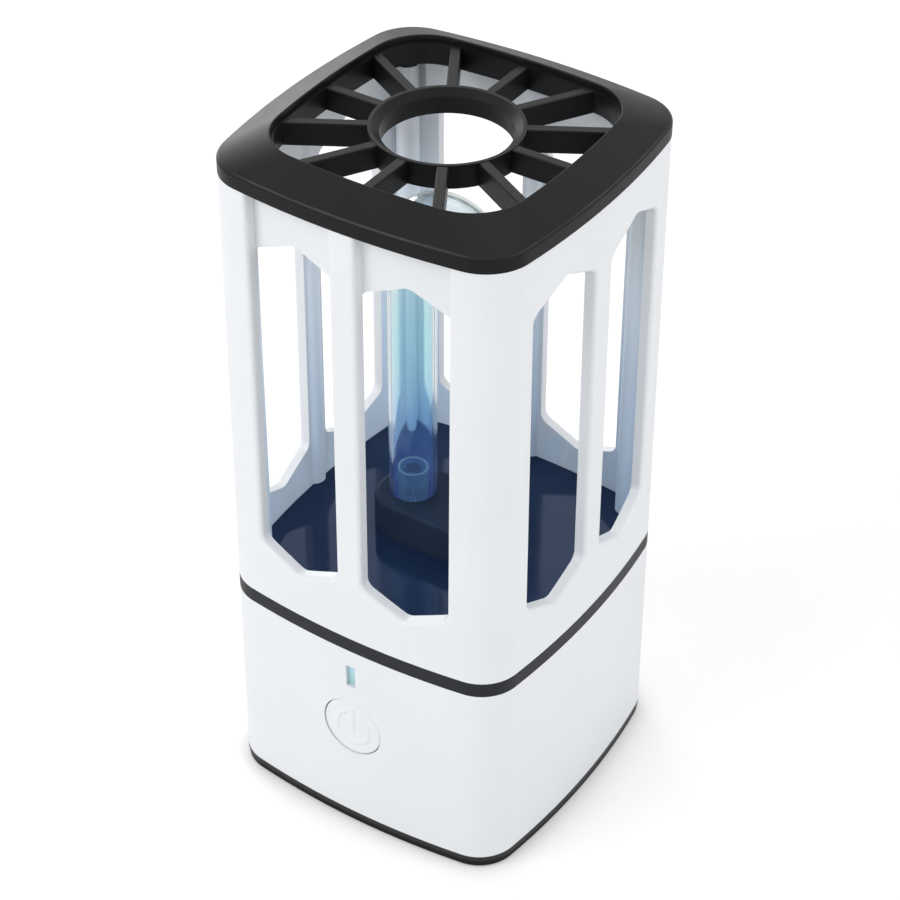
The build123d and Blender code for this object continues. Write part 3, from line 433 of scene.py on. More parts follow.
@dataclass(frozen=True)
class ChamberWhite(MouldedPlastic):
    """White plastic with painted blue lamp light and shade behind its outer faces, deeper towards the floor,
    and a painted glow on the inner walls.

    The lowest rim of the base is painted black, for the black cover's edge and the contact shadow under it,
    which together make the dark line at the table.
    """

    # Painted blue shade: the lamp's blue light and the chamber's shadow, mixed into the inner walls
    painted_blue_shade: Colour = (0.45, 0.58, 0.75)
    painted_shade_at_floor: float = 0.9
    painted_shade_at_ceiling: float = 0.02
    # Painted glow on the inner walls, standing in for the lamp's light; it is strongest towards the far wall
    glow: Colour = (0.6, 0.7, 0.77)
    glow_strength: float = 0.26
    glow_start: float = 14 * MM
    glow_full: float = 40 * MM
    glow_near: float = 0.5
    far_wall: float = -25 * MM
    floor_z: float = 52.5 * MM
    floor_fade: float = 1 * MM
    ceiling_z: float = 139.9 * MM
    body_half: float = 33.6 * MM
    bow_radius: float = 169 * MM
    corner_radius: float = 8.7 * MM
    corner_centre: float = 23.2 * MM
    lean: float = 0.58 / 139.9
    skin: float = 2.47 * MM
    edge_soft: float = 0.04 * MM
    base_z: float = 1.55 * MM
    rim_height: float = 1.15 * MM
    # Black painted on the rim: the cover's edge and a painted contact shadow
    dark_rim_and_shadow_colour: Colour = (0.0035, 0.0035, 0.0038)

    def depth(self, bench: ShaderBench) -> Signal:
        """How far a point lies behind the bowed, leaning outside of the body.

        Args:
            bench: The material's bench.

        Returns:
            The depth in metres.
        """
        x, y, z = bench.axes()
        along = abs(x).smaller(abs(y))
        flat = self.body_half - abs(x).larger(abs(y)) - along * along * (0.5 / self.bow_radius)
        out_x = (abs(x) - self.corner_centre).larger(0.0)
        out_y = (abs(y) - self.corner_centre).larger(0.0)
        corner = self.corner_radius - (out_x * out_x + out_y * out_y).root()
        return flat + along.over(self.corner_centre) * (corner - flat) - z * self.lean

    def tone(self, bench: ShaderBench) -> Value:
        """Base colour and painted glow: white outside, painted blue shade deepening towards the chamber floor
        inside, black painted at the rim for the cover's edge and its contact shadow.

        Args:
            bench: The material's bench.

        Returns:
            The base colour.
        """
        x, _, z = bench.axes()
        inside = self.depth(bench).rise(self.skin - self.edge_soft, self.skin)
        lit = inside * z.rise(self.floor_z - self.floor_fade, self.floor_z)
        height = z.rise(self.ceiling_z, self.floor_z)
        # Painted shade: bluer and darker down the inner walls towards the chamber floor
        amount = lit * (self.painted_shade_at_ceiling + height * (self.painted_shade_at_floor - self.painted_shade_at_ceiling))
        # Painted glow: grows away from the lid and towards the far wall
        deep = z.rise(self.ceiling_z - self.glow_start, self.ceiling_z - self.glow_full)
        far = x.rise(0.0, self.far_wall) * (1 - self.glow_near) + self.glow_near
        glow = bench.blend(lit * deep * far, BLACK, self.glow)
        bench.set(Emission_Color=glow, Emission_Strength=self.glow_strength)
        # The inner walls take the painted blue shade
        white = bench.blend(amount, MouldedPlastic.tone(self, bench), self.painted_blue_shade)
        # The base's lowest rim is painted black: the cover's edge and a painted contact shadow at the table
        rim_z = self.base_z + self.rim_height
        return bench.blend(z.rise(rim_z + self.edge_soft, rim_z - self.edge_soft), white, self.dark_rim_and_shadow_colour)


@dataclass(frozen=True)
class PolishedFloor(Finish):
    """Polished dark plastic with slight sink marks, hairline scratches and a trace of dust; its top is painted
    deep blue with the lamp's light, and its reflections are painted blue.
    """

    # Deep blue of the top: painted lamp light on the dark plastic
    colour: Colour = (0.011, 0.026, 0.07)
    dust: Colour = (0.05, 0.08, 0.14)
    edge_colour: Colour = (0.0255, 0.0243, 0.0225)
    floor_z: float = 52.5 * MM
    edge_drop: float = 0.6 * MM
    edge_top: float = 0.2 * MM
    roughness: float = 0.07
    edge_roughness: float = 0.42
    specular: float = 0.3
    # Painted blue of the reflections, standing in for the lamp's light
    painted_blue_sheen: tuple[float, float, float, float] = (0.2, 0.34, 0.68, 1.0)
    speck_size: float = 0.9 * MM
    speck_band: Band = (0.66, 0.8)
    speck_share: float = 0.25
    speck_roughness: float = 0.4
    haze_size: float = 12 * MM
    haze_band: Band = (0.35, 0.75)
    haze_share: float = 0.2
    haze_roughness: float = 0.05
    scratch_size: float = 2.5 * MM
    scratch_stretch: Point = (0.12, 2.0, 1.0)
    scratch_band: Band = (0.62, 0.66)
    scratch_share: float = 0.02
    sink_size: float = 14 * MM
    sink_depth: float = 0.05 * MM

    def paint(self, bench: ShaderBench) -> None:
        """Fill the material's node tree.

        Args:
            bench: The material's bench.
        """
        z = bench.axes()[2]
        top = z.rise(self.floor_z - self.edge_drop, self.floor_z - self.edge_top)
        specks = bench.noise(self.speck_size, detail=3.0).rise(*self.speck_band) * self.speck_share
        haze = bench.noise(self.haze_size, detail=3.0).rise(*self.haze_band)
        deep = bench.blend(specks + haze * self.haze_share, self.colour, self.dust)
        # The top takes the painted blue lamp light; the edge keeps the plastic's own colour
        bench.set(Base_Color=bench.blend(top, self.edge_colour, deep))
        polished = self.roughness + specks * self.speck_roughness + haze * self.haze_roughness
        bench.set(Roughness=self.edge_roughness + top * (polished - self.edge_roughness))
        # The reflections are painted blue for the lamp's light
        bench.set(Specular_IOR_Level=self.specular, Specular_Tint=self.painted_blue_sheen)
        scratch = bench.noise(self.scratch_size, stretch=self.scratch_stretch).rise(*self.scratch_band)
        sinks = bench.noise(self.sink_size, detail=1.0)
        bench.relief(sinks + scratch * self.scratch_share, self.sink_depth)


@dataclass(frozen=True)
class LampGlass(Finish):
    """Clear glass with the lit lamp's blue painted into the colour of its inner skin: pale at the bend, blue
    half way down and indigo at the foot.
    """

    clear: Colour = (0.93, 0.985, 0.98)
    # Painted lamp light: colour of the inner skin by height, standing in for the lit tube's glow
    painted_bore_light: tuple[tuple[float, Colour], ...] = (
        (0.0, (0.46, 0.66, 0.9)),
        (0.35, (0.54, 0.78, 0.84)),
        (0.8, (0.6, 0.84, 0.86)),
        (1.0, (0.83, 0.88, 0.92)),
    )
    glow: tuple[tuple[float, Colour], ...] = (
        (0.0, (0.2, 0.32, 0.9)),
        (0.3, (0.08, 0.34, 0.66)),
        (0.75, (0.05, 0.27, 0.36)),
        (1.0, (0.06, 0.09, 0.1)),
    )
    glow_strength: float = 0.08
    roughness: float = 0.01
    bore_roughness: float = 0.07
    film_roughness: float = 0.03
    film_size: float = 5 * MM
    film_stretch: Point = (1.0, 1.0, 0.12)
    film_band: Band = (0.55, 0.8)
    film_depth: float = 0.01 * MM
    foot_z: float = 54 * MM
    top_z: float = 130 * MM
    foot_length: float = 10 * MM
    top_length: float = 12 * MM
    tube_radius: float = 4.75 * MM
    half_wall: float = 0.45 * MM
    wall_soft: float = 0.1 * MM
    leg: float = 7.7 * MM
    ior: float = GLASS_IOR

    def radius(self, bench: ShaderBench) -> Signal:
        """Distance from the centre line of the bent tube.

        Args:
            bench: The material's bench.

        Returns:
            The distance in metres.
        """
        x, y, z = bench.axes()
        bend_z = self.top_z - self.tube_radius - self.leg
        above = (z - bend_z).larger(0.0)
        off = (x * x + above * above).root() - self.leg
        return (off * off + y * y).root()

    def paint(self, bench: ShaderBench) -> None:
        """Fill the material's node tree.

        Args:
            bench: The material's bench.
        """
        height = bench.axes()[2].rise(self.foot_z + self.foot_length, self.top_z - self.top_length)
        wall = self.tube_radius - self.half_wall
        inner = self.radius(bench).rise(wall + self.wall_soft, wall - self.wall_soft)
        film = bench.noise(self.film_size, detail=3.0, stretch=self.film_stretch)
        streaks = film.rise(*self.film_band) * self.film_roughness
        # The inner skin takes the painted lamp light
        bench.set(Base_Color=bench.blend(inner, self.clear, bench.ramp(height, self.painted_bore_light)))
        bench.set(Roughness=self.roughness + streaks + inner * self.bore_roughness)
        bench.set(Emission_Color=bench.blend(inner, BLACK, bench.ramp(height, self.glow)))
        bench.set(Emission_Strength=self.glow_strength, Transmission_Weight=1.0, IOR=self.ior)
        bench.relief(film, self.film_depth)


@dataclass(frozen=True)
class StemGlass(Finish):
    """Thin drawn glass of the electrode stems, a little cloudy from the heat of the cup, with a painted blue
    glow that is brightest at the lip.
    """

    colour: Colour = (0.9, 0.96, 1.0)
    cloud: Colour = (0.76, 0.87, 0.96)
    cloud_size: float = 2.5 * MM
    cloud_stretch: Point = (1.0, 1.0, 0.4)
    cloud_band: Band = (0.45, 0.8)
    cloud_depth: float = 0.01 * MM
    roughness: float = 0.02
    cloud_roughness: float = 0.08
    # Painted glow of the stems, which are no lamp
    glow: Colour = (0.065, 0.135, 0.21)
    painted_lip_glow: Colour = (0.6, 0.85, 1.0)
    glow_strength: float = 0.1
    top_z: float = 68 * MM
    lip_drop: float = 0.5 * MM
    lip_full: float = 0.1 * MM
    ior: float = GLASS_IOR

    def paint(self, bench: ShaderBench) -> None:
        """Fill the material's node tree.

        Args:
            bench: The material's bench.
        """
        cloud = bench.noise(self.cloud_size, detail=3.0, stretch=self.cloud_stretch).rise(*self.cloud_band)
        bench.set(Base_Color=bench.blend(cloud, self.colour, self.cloud))
        bench.set(Roughness=self.roughness + cloud * self.cloud_roughness)
        # Painted glow, brightest along the lip
        lip = bench.axes()[2].rise(self.top_z - self.lip_drop, self.top_z - self.lip_full)
        bench.set(Emission_Color=bench.blend(lip, self.glow, self.painted_lip_glow))
        bench.set(Emission_Strength=self.glow_strength, Transmission_Weight=1.0, IOR=self.ior)
        bench.relief(cloud, self.cloud_depth)


@dataclass(frozen=True)
class Metal(Finish):
    """Plated or drawn metal with fine draw lines and dull stains."""

    colour: Colour = (0.6, 0.6, 0.58)
    roughness: float = 0.28
    line_size: float = 0.3 * MM
    line_stretch: Point = (1.0, 0.08, 1.0)
    line_roughness: float = 0.12
    line_depth: float = 0.004 * MM
    stain_size: float = 3 * MM
    stain_band: Band = (0.4, 0.8)
    stain_share: float = 0.6
    stain_roughness: float = 0.08
    dulling: float = 0.78

    def paint(self, bench: ShaderBench) -> None:
        """Fill the material's node tree.

        Args:
            bench: The material's bench.
        """
        lines = bench.noise(self.line_size, detail=3.0, stretch=self.line_stretch)
        stain = bench.noise(self.stain_size).rise(*self.stain_band)
        dull = tuple(self.dulling * channel for channel in self.colour)
        bench.set(Base_Color=bench.blend(stain * self.stain_share, self.colour, dull), Metallic=1.0)
        drift = (lines - 0.5) * self.line_roughness + stain * self.stain_roughness
        bench.set(Roughness=self.roughness + drift)
        bench.relief(lines, self.line_depth)


@dataclass(frozen=True)
class NickelWithPaintedGlow(Metal):
    """Nickel that is painted blue-grey with the lamp's light, with a faint painted glow, where it is inside the
    lamp.
    """

    # Painted lamp light: the blue-grey of the metal inside the lamp
    painted_lamp_blue: Colour = (0.03, 0.05, 0.075)
    glow: Colour = (0.02, 0.038, 0.066)
    lamp_z: float = 55 * MM
    fade: float = 1 * MM

    def paint(self, bench: ShaderBench) -> None:
        """Fill the material's node tree.

        Args:
            bench: The material's bench.
        """
        Metal.paint(self, bench)
        # Inside the lamp the metal gets painted blue lamp light and a painted glow
        inside = bench.axes()[2].rise(self.lamp_z, self.lamp_z + self.fade)
        bench.set(Base_Color=bench.blend(inside, self.colour, self.painted_lamp_blue))
        bench.set(Emission_Color=bench.blend(inside, BLACK, self.glow), Emission_Strength=1.0)


@dataclass(frozen=True)
class SoftSkin(Finish):
    """Rubber, foam or wire insulation: matt, slightly mottled and finely pored."""

    colour: Colour = (0.03, 0.03, 0.03)
    roughness: float = 0.75
    specular: float = 0.4
    mottle_size: float = 2.2 * MM
    mottle_band: Band = (0.4, 0.75)
    mottle_roughness: float = 0.12
    paling: float = 1.35
    bloom: float = 0.006
    pore: float = 0.35 * MM
    pore_depth: float = 0.03 * MM

    def paint(self, bench: ShaderBench) -> None:
        """Fill the material's node tree.

        Args:
            bench: The material's bench.
        """
        mottle = bench.noise(self.mottle_size, detail=3.0)
        pale = tuple(min(1.0, self.paling * channel + self.bloom) for channel in self.colour)
        bench.set(Base_Color=bench.blend(mottle.rise(*self.mottle_band), self.colour, pale))
        roughness = self.roughness + (mottle - 0.5) * self.mottle_roughness
        bench.set(Roughness=roughness, Specular_IOR_Level=self.specular)
        bench.relief(bench.cells(self.pore), self.pore_depth)


@dataclass(frozen=True)
class SolderResist(Finish):
    """Circuit board: lacquer over darker ground planes and raised tracks."""

    lacquer: Colour = (0.012, 0.12, 0.055)
    track: Colour = (0.03, 0.24, 0.11)
    pitch: float = 1.9 * MM
    track_band: Band = (0.12, 0.07)
    track_depth: float = 0.03 * MM
    roughness: float = 0.3
    track_roughness: float = 0.24

    def paint(self, bench: ShaderBench) -> None:
        """Fill the material's node tree.

        Args:
            bench: The material's bench.
        """
        values = {"Vector": bench.place(), "Scale": 1.0 / self.pitch}
        cells = bench.node("ShaderNodeTexVoronoi", {"feature": "DISTANCE_TO_EDGE"}, values)
        tracks = Signal(bench, cells.outputs[0]).rise(*self.track_band)
        bench.set(Base_Color=bench.blend(tracks, self.lacquer, self.track))
        bench.set(Roughness=self.roughness + tracks * (self.track_roughness - self.roughness))
        bench.relief(tracks, self.track_depth)


@dataclass(frozen=True)
class IndicatorLens(Finish):
    """Frosted lens of the indicator: pale teal, and greener towards its lower end."""

    colour: Colour = (0.46, 0.69, 0.78)
    low_colour: Colour = (0.36, 0.61, 0.61)
    glow: float = 0.05
    low_z: float = 36.6 * MM
    high_z: float = 41.8 * MM
    cloud_size: float = 1.5 * MM
    cloud_share: float = 0.4
    cloud_depth: float = 0.01 * MM
    roughness: float = 0.16
    cloud_roughness: float = 0.1

    def paint(self, bench: ShaderBench) -> None:
        """Fill the material's node tree.

        Args:
            bench: The material's bench.
        """
        height = bench.axes()[2].rise(self.low_z, self.high_z)
        clouds = bench.noise(self.cloud_size)
        share = height + (clouds - 0.5) * self.cloud_share
        colour = bench.blend(share, self.low_colour, self.colour)
        bench.set(Base_Color=colour, Emission_Color=colour, Emission_Strength=self.glow)
        bench.set(Roughness=self.roughness + clouds * self.cloud_roughness)
        bench.relief(clouds, self.cloud_depth)


@dataclass(frozen=True)
class Sleeve(Finish):
    """Printed film or moulded resin of a small electronic part: even colour with scuffed high spots."""

    colour: Colour = (0.05, 0.05, 0.05)
    roughness: float = 0.45
    scuff_size: float = 0.8 * MM
    scuff_band: Band = (0.55, 0.8)
    scuff_roughness: float = 0.15
    paling: float = 1.2
    bloom: float = 0.012
    grain: float = 0.25 * MM
    grain_depth: float = 0.006 * MM

    def paint(self, bench: ShaderBench) -> None:
        """Fill the material's node tree.

        Args:
            bench: The material's bench.
        """
        scuff = bench.noise(self.scuff_size, detail=4.0).rise(*self.scuff_band)
        worn = tuple(min(1.0, self.paling * channel + self.bloom) for channel in self.colour)
        bench.set(Base_Color=bench.blend(scuff, self.colour, worn))
        bench.set(Roughness=self.roughness + scuff * self.scuff_roughness)
        bench.relief(bench.noise(self.grain), self.grain_depth)


def finishes() -> list[Finish]:
    """One finish for each slot of the record, with its levels taken from the frame.

    Returns:
        The finishes.
    """
    floor_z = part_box("lamp_tray")[1].z
    tube_low, tube_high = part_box("uv_tube")
    tube_radius = (tube_high.y - tube_low.y) / 2
    leg = (tube_high.x - tube_low.x) / 2 - tube_radius
    lens_low, lens_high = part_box("light_pipe")
    return [
        ChamberWhite(
            "white_plastic", colour=(0.865, 0.884, 0.908), shade=(0.845, 0.866, 0.892), roughness=0.34,
            floor_z=floor_z, ceiling_z=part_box("cage")[1].z, base_z=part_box("base_housing")[0].z,
        ),
        LidBlack(
            "black_plastic", colour=(0.006, 0.006, 0.0065), shade=(0.0078, 0.0078, 0.0084), roughness=0.38,
            grain=0.16 * MM, grain_depth=0.01 * MM, specular=0.17, lid_z=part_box("top_lid")[1].z,
        ),
        PolishedFloor("gloss_black_plastic", floor_z=floor_z),
        # The holder's dark blue is painted lamp light on its dark plastic
        MouldedPlastic(
            "holder_plastic", colour=(0.022, 0.037, 0.07), shade=(0.027, 0.044, 0.08), roughness=0.36,
            specular=0.03,
        ),
        LampGlass(
            "quartz_glass", foot_z=tube_low.z, top_z=tube_high.z, tube_radius=tube_radius, leg=leg,
        ),
        StemGlass("stem_glass", top_z=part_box("electrode_stems")[1].z),
        NickelWithPaintedGlow("electrode_nickel", colour=(0.62, 0.6, 0.56), lamp_z=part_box("electrodes")[0].z),
        SoftSkin("lead_insulation", colour=(0.72, 0.72, 0.7), roughness=0.5),
        Metal("screw_steel", colour=(0.55, 0.55, 0.54), roughness=0.32),
        SoftSkin("foot_rubber", colour=(0.022, 0.022, 0.023)),
        Metal("battery_pouch", colour=(0.72, 0.73, 0.75), roughness=0.36, line_size=0.8 * MM),
        SoftSkin("foam", colour=(0.07, 0.07, 0.08), roughness=0.9, pore=0.6 * MM, pore_depth=0.12 * MM),
        SolderResist("circuit_board"),
        Sleeve("ferrite", colour=(0.045, 0.045, 0.05), roughness=0.6),
        Sleeve("coil_tape", colour=(0.72, 0.52, 0.06), roughness=0.3),
        Sleeve("capacitor_can", colour=(0.02, 0.028, 0.07), roughness=0.3),
        Sleeve("chip_resin", colour=(0.02, 0.02, 0.021), roughness=0.5),
        Metal("socket_steel", colour=(0.68, 0.68, 0.67), roughness=0.22),
        MouldedPlastic(
            "switch_plastic", colour=(0.02, 0.02, 0.02), shade=(0.026, 0.026, 0.026), roughness=0.5,
        ),
        Sleeve("led_resin", colour=(0.78, 0.76, 0.55), roughness=0.35),
        IndicatorLens("light_pipe_acrylic", low_z=lens_low.z, high_z=lens_high.z),
    ]


@dataclass
class Workshop:
    """Holds the finishes, gives each CAD node its slot, and gives each new piece its body and its slot."""

    materials: dict[str, bpy.types.Material] = field(default_factory=dict)

    def prepare(self, finishes: Sequence[Finish]) -> None:
        """Build the materials.

        Args:
            finishes: One finish for each slot of the record.
        """
        for finish in finishes:
            self.materials[finish.slot] = finish.material()

    def dress_nodes(self) -> None:
        """Give each carried-over CAD node the finish of its slot."""
        for subpart in frame["record"]["subparts"]:
            node = frame["nodes"][subpart["node"]]
            node.data.materials.clear()
            node.data.materials.append(self.materials[subpart["material_slot"]])
            log.info("dressed %s with %s", node.name, subpart["material_slot"])

    def place(
        self, piece: bpy.types.Object, slot: str, body: Body, replaced: Sequence[str] = ()
    ) -> bpy.types.Object:
        """Dress a new piece and let it ride.

        Args:
            piece: The new object.
            slot: The record's slot that it takes its finish from.
            body: The body that it moves with.
            replaced: CAD nodes that it stands for.

        Returns:
            The same object.
        """
        piece.data.materials.append(self.materials[slot])
        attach(piece, body.value)
        if replaced:
            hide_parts(*replaced)
        log.info("placed %s on %s", piece.name, body.value)
        return piece


def mesh_object(
    name: str, points: Sequence[Point], faces: Sequence[Sequence[int]], sharp_angle: float = 40.0
) -> bpy.types.Object:
    """Make a mesh object with smooth shading, apart from edges sharper than an angle.

    Args:
        name: The object's name.
        points: Vertices in metres.
        faces: Vertex indices of each face.
        sharp_angle: Edges that turn by more degrees than this stay sharp.

    Returns:
        The object, linked to the scene.
    """
    mesh = bpy.data.meshes.new(name)
    mesh.from_pydata(points, [], faces)
    mesh.validate()
    shell = bmesh.new()
    shell.from_mesh(mesh)
    bmesh.ops.recalc_face_normals(shell, faces=shell.faces)
    shell.to_mesh(mesh)
    shell.free()
    mesh.shade_smooth()
    mesh.set_sharp_from_angle(angle=math.radians(sharp_angle))
    piece = bpy.data.objects.new(name, mesh)
    bpy.context.scene.collection.objects.link(piece)
    return piece


def ring_faces(rings: int, segments: int, closed: bool) -> list[tuple[int, ...]]:
    """Quads between successive rings of points.

    Args:
        rings: Number of rings.
        segments: Points in each ring.
        closed: Whether the last ring joins the first.

    Returns:
        The faces.
    """
    faces = []
    for ring in range(rings if closed else rings - 1):
        low = ring * segments
        high = (ring + 1) % rings * segments
        for index in range(segments):
            step = (index + 1) % segments
            faces.append((low + index, low + step, high + step, high + index))
    return faces


def lathe(
    name: str, profile: Sequence[tuple[float, float]], places: Sequence[tuple[float, float]], segments: int
) -> bpy.types.Object:
    """Turn a closed half profile about one or more upright axes.

    Args:
        name: The object's name.
        profile: Radius and height of each corner, in order round the section.
        places: X and Y of each axis.
        segments: Points in each turned ring.

    Returns:
        One object with a closed ring of surface round each axis.
    """
    points: list[Point] = []
    faces: list[tuple[int, ...]] = []
    for x, y in places:
        first = len(points)
        for radius, z in profile:
            for index in range(segments):
                angle = math.tau * index / segments
                points.append((x + radius * math.cos(angle), y + radius * math.sin(angle), z))
        for face in ring_faces(len(profile), segments, True):
            faces.append(tuple(first + corner for corner in face))
    return mesh_object(name, points, faces)


@dataclass
class PowerButton:
    """Round cap with a raised on-off sign, flush with the bowed front."""

    workshop: Workshop
    radius: float = 6.5 * MM
    edge: float = 0.3 * MM
    flange: float = 1.2 * MM
    core_radius: float = 5.4 * MM
    core_depth: float = 1.6 * MM
    stud_radius: float = 1.9 * MM
    sign_radius: float = 3.75 * MM
    stroke: float = 1.5 * MM
    stroke_soft: float = 0.4 * MM
    sign_height: float = 0.22 * MM
    sink: float = 0.15 * MM
    gap_angle: float = 31.0
    bar_low: float = -1.3 * MM
    bar_high: float = 4.6 * MM
    bow_radius: float = 169 * MM
    draft: float = 0.58 / 139.9
    wall: float = 2.2 * MM
    seat_gap: float = 0.3 * MM
    segments: int = 192
    face_rings: int = 76
    edge_rings: int = 6

    def sign_distance(self, x: float, z: float) -> float:
        """Distance from the centre line of the sign: an open ring with an upright bar in its gap.

        Args:
            x: Place across the cap, from its centre.
            z: Place up the cap, from its centre.

        Returns:
            The distance in metres.
        """
        to_bar = math.hypot(x, z - min(max(z, self.bar_low), self.bar_high))
        gap = math.radians(self.gap_angle)
        angle = abs(math.atan2(x, z))
        if angle >= gap:
            to_ring = abs(math.hypot(x, z) - self.sign_radius)
        else:
            end = (self.sign_radius * math.sin(gap), self.sign_radius * math.cos(gap))
            to_ring = math.hypot(abs(x) - end[0], z - end[1])
        return min(to_bar, to_ring)

    def relief(self, x: float, z: float) -> float:
        """Height of the sign above the cap at a place.

        Args:
            x: Place across the cap, from its centre.
            z: Place up the cap, from its centre.

        Returns:
            The height in metres, rounded off at the edges of the stroke.
        """
        share = (self.stroke / 2 - self.sign_distance(x, z)) / self.stroke_soft
        share = min(max(share, 0.0), 1.0)
        return self.sign_height * share * share * (3 - 2 * share)

    def build(self) -> bpy.types.Object:
        """Build the cap as rings from its front centre to its back centre.

        Returns:
            The cap, which stands for the CAD cap and rides on the button.
        """
        low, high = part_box("power_button")
        centre_z = (low.z + high.z) / 2
        outer = (high.x - low.x) / 2
        stud_y = high.y
        front_y = low.y + self.radius * self.draft + self.sink
        profile: list[tuple[float, Callable[[float, float], float]]] = []

        def face(x: float, z: float) -> float:
            """Y of the cap's bare front at a place."""
            return front_y + x * x / (2 * self.bow_radius) + z * self.draft

        for step in range(1, self.face_rings + 1):
            radius = (self.radius - self.edge) * step / self.face_rings
            profile.append((radius, lambda x, z: face(x, z) - self.relief(x, z)))
        for step in range(1, self.edge_rings + 1):
            turn = math.pi / 2 * step / self.edge_rings
            reach = self.radius - self.edge + self.edge * math.sin(turn)
            drop = self.edge * (1 - math.cos(turn))
            profile.append((reach, lambda x, z, drop=drop: face(x, z) + drop))
        back_y = stud_y - self.stud_length()
        for radius, y in (
            (self.radius, back_y - self.flange),
            (outer, back_y - self.flange),
            (outer, back_y),
            (self.core_radius, back_y),
            (self.core_radius, back_y - self.core_depth),
            (self.stud_radius, back_y - self.core_depth),
            (self.stud_radius, stud_y),
        ):
            profile.append((radius, lambda x, z, y=y: y))
        points: list[Point] = []
        for radius, depth in profile:
            for index in range(self.segments):
                angle = math.tau * index / self.segments
                x, z = radius * math.sin(angle), radius * math.cos(angle)
                points.append((x, depth(x, z), centre_z + z))
        faces = ring_faces(len(profile), self.segments, False)
        front, back = len(points), len(points) + 1
        points += [(0.0, face(0.0, 0.0) - self.relief(0.0, 0.0), centre_z), (0.0, stud_y, centre_z)]
        last = (len(profile) - 1) * self.segments
        for index in range(self.segments):
            step = (index + 1) % self.segments
            faces.append((front, step, index))
            faces.append((back, last + index, last + step))
        cap = mesh_object("power_cap", points, faces)
        return self.workshop.place(cap, "white_plastic", Body.BUTTON, ["power_button"])

    def stud_length(self) -> float:
        """Length of the stud behind the flange, from the cap's CAD box.

        Returns:
            The length in metres.
        """
        low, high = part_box("power_button")
        flange_back = low.y + self.radius * self.draft + self.wall + self.seat_gap + self.flange
        return high.y - flange_back


@dataclass
class Lamp:
    """The quartz tube and the stems inside it, smooth enough for glass."""

    workshop: Workshop
    tube_radius: float = 4.75 * MM
    tube_wall: float = 0.9 * MM
    around: int = 96
    bend_steps: int = 64
    leg_steps: int = 12
    stem_radius: float = 3.05 * MM
    stem_wall: float = 0.42 * MM
    stem_foot: float = 1.2 * MM
    flare_low: float = 1.92 * MM
    flare_high: float = 2.88 * MM
    hollow_low: float = 2.4 * MM
    hollow_floor: float = 0.7
    wire_radius: float = 0.45 * MM
    lip_steps: int = 8

    def centre_line(self) -> list[tuple[Point, Point]]:
        """Centre line of the tube as points with their directions, from one foot to the other.

        Returns:
            Pairs of point and unit direction.
        """
        low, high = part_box("uv_tube")
        leg = (high.x - low.x) / 2 - self.tube_radius
        bend_z = high.z - self.tube_radius - leg
        line = []
        for step in range(self.leg_steps):
            line.append(((leg, 0.0, low.z + (bend_z - low.z) * step / self.leg_steps), (0.0, 0.0, 1.0)))
        for step in range(self.bend_steps + 1):
            turn = math.pi * step / self.bend_steps
            point = (leg * math.cos(turn), 0.0, bend_z + leg * math.sin(turn))
            line.append((point, (-math.sin(turn), 0.0, math.cos(turn))))
        for step in range(self.leg_steps - 1, -1, -1):
            line.append(((-leg, 0.0, low.z + (bend_z - low.z) * step / self.leg_steps), (0.0, 0.0, -1.0)))
        return line

    def tube(self) -> bpy.types.Object:
        """Build the tube: its outer skin out and its inner skin back, joined at both feet.

        Returns:
            The tube, which stands for the CAD tube.
        """
        line = self.centre_line()
        points: list[Point] = []
        inner = self.tube_radius - self.tube_wall
        trip = [(pair, self.tube_radius) for pair in line] + [(pair, inner) for pair in reversed(line)]
        for (point, direction), radius in trip:
            side = Vector((0.0, 1.0, 0.0))
            out = side.cross(Vector(direction))
            for index in range(self.around):
                angle = math.tau * index / self.around
                spot = Vector(point) + radius * (math.cos(angle) * side + math.sin(angle) * out)
                points.append(tuple(spot))
        faces = ring_faces(len(trip), self.around, True)
        tube = mesh_object("quartz_tube", points, faces)
        return self.workshop.place(tube, "quartz_glass", Body.HOUSING, ["uv_tube"])

    def stems(self) -> bpy.types.Object:
        """Build the drawn stems: a flared foot, a thin wall and a fire-polished lip each.

        Returns:
            Both stems as one object, which stands for the CAD stems.
        """
        low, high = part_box("electrode_stems")
        foot_radius = (high.y - low.y) / 2
        leg = (high.x - low.x) / 2 - foot_radius
        lip = self.stem_wall / 2
        profile = [
            (self.wire_radius, low.z),
            (foot_radius, low.z),
            (foot_radius, low.z + self.stem_foot),
            (self.stem_radius + lip, low.z + self.flare_low),
            (self.stem_radius, low.z + self.flare_high),
        ]
        for step in range(self.lip_steps + 1):
            turn = math.pi * step / self.lip_steps
            radius = self.stem_radius - lip + lip * math.cos(turn)
            profile.append((radius, high.z - lip + lip * math.sin(turn)))
        inside = self.stem_radius - self.stem_wall
        profile += [
            (inside, low.z + self.hollow_low),
            (inside * self.hollow_floor, low.z + self.stem_foot),
            (self.wire_radius, low.z + self.stem_foot),
        ]
        stems = lathe("glass_stems", profile, [(-leg, 0.0), (leg, 0.0)], self.around)
        return self.workshop.place(stems, "stem_glass", Body.HOUSING, ["electrode_stems"])

    def build(self) -> None:
        """Build the glass pieces."""
        self.tube()
        self.stems()


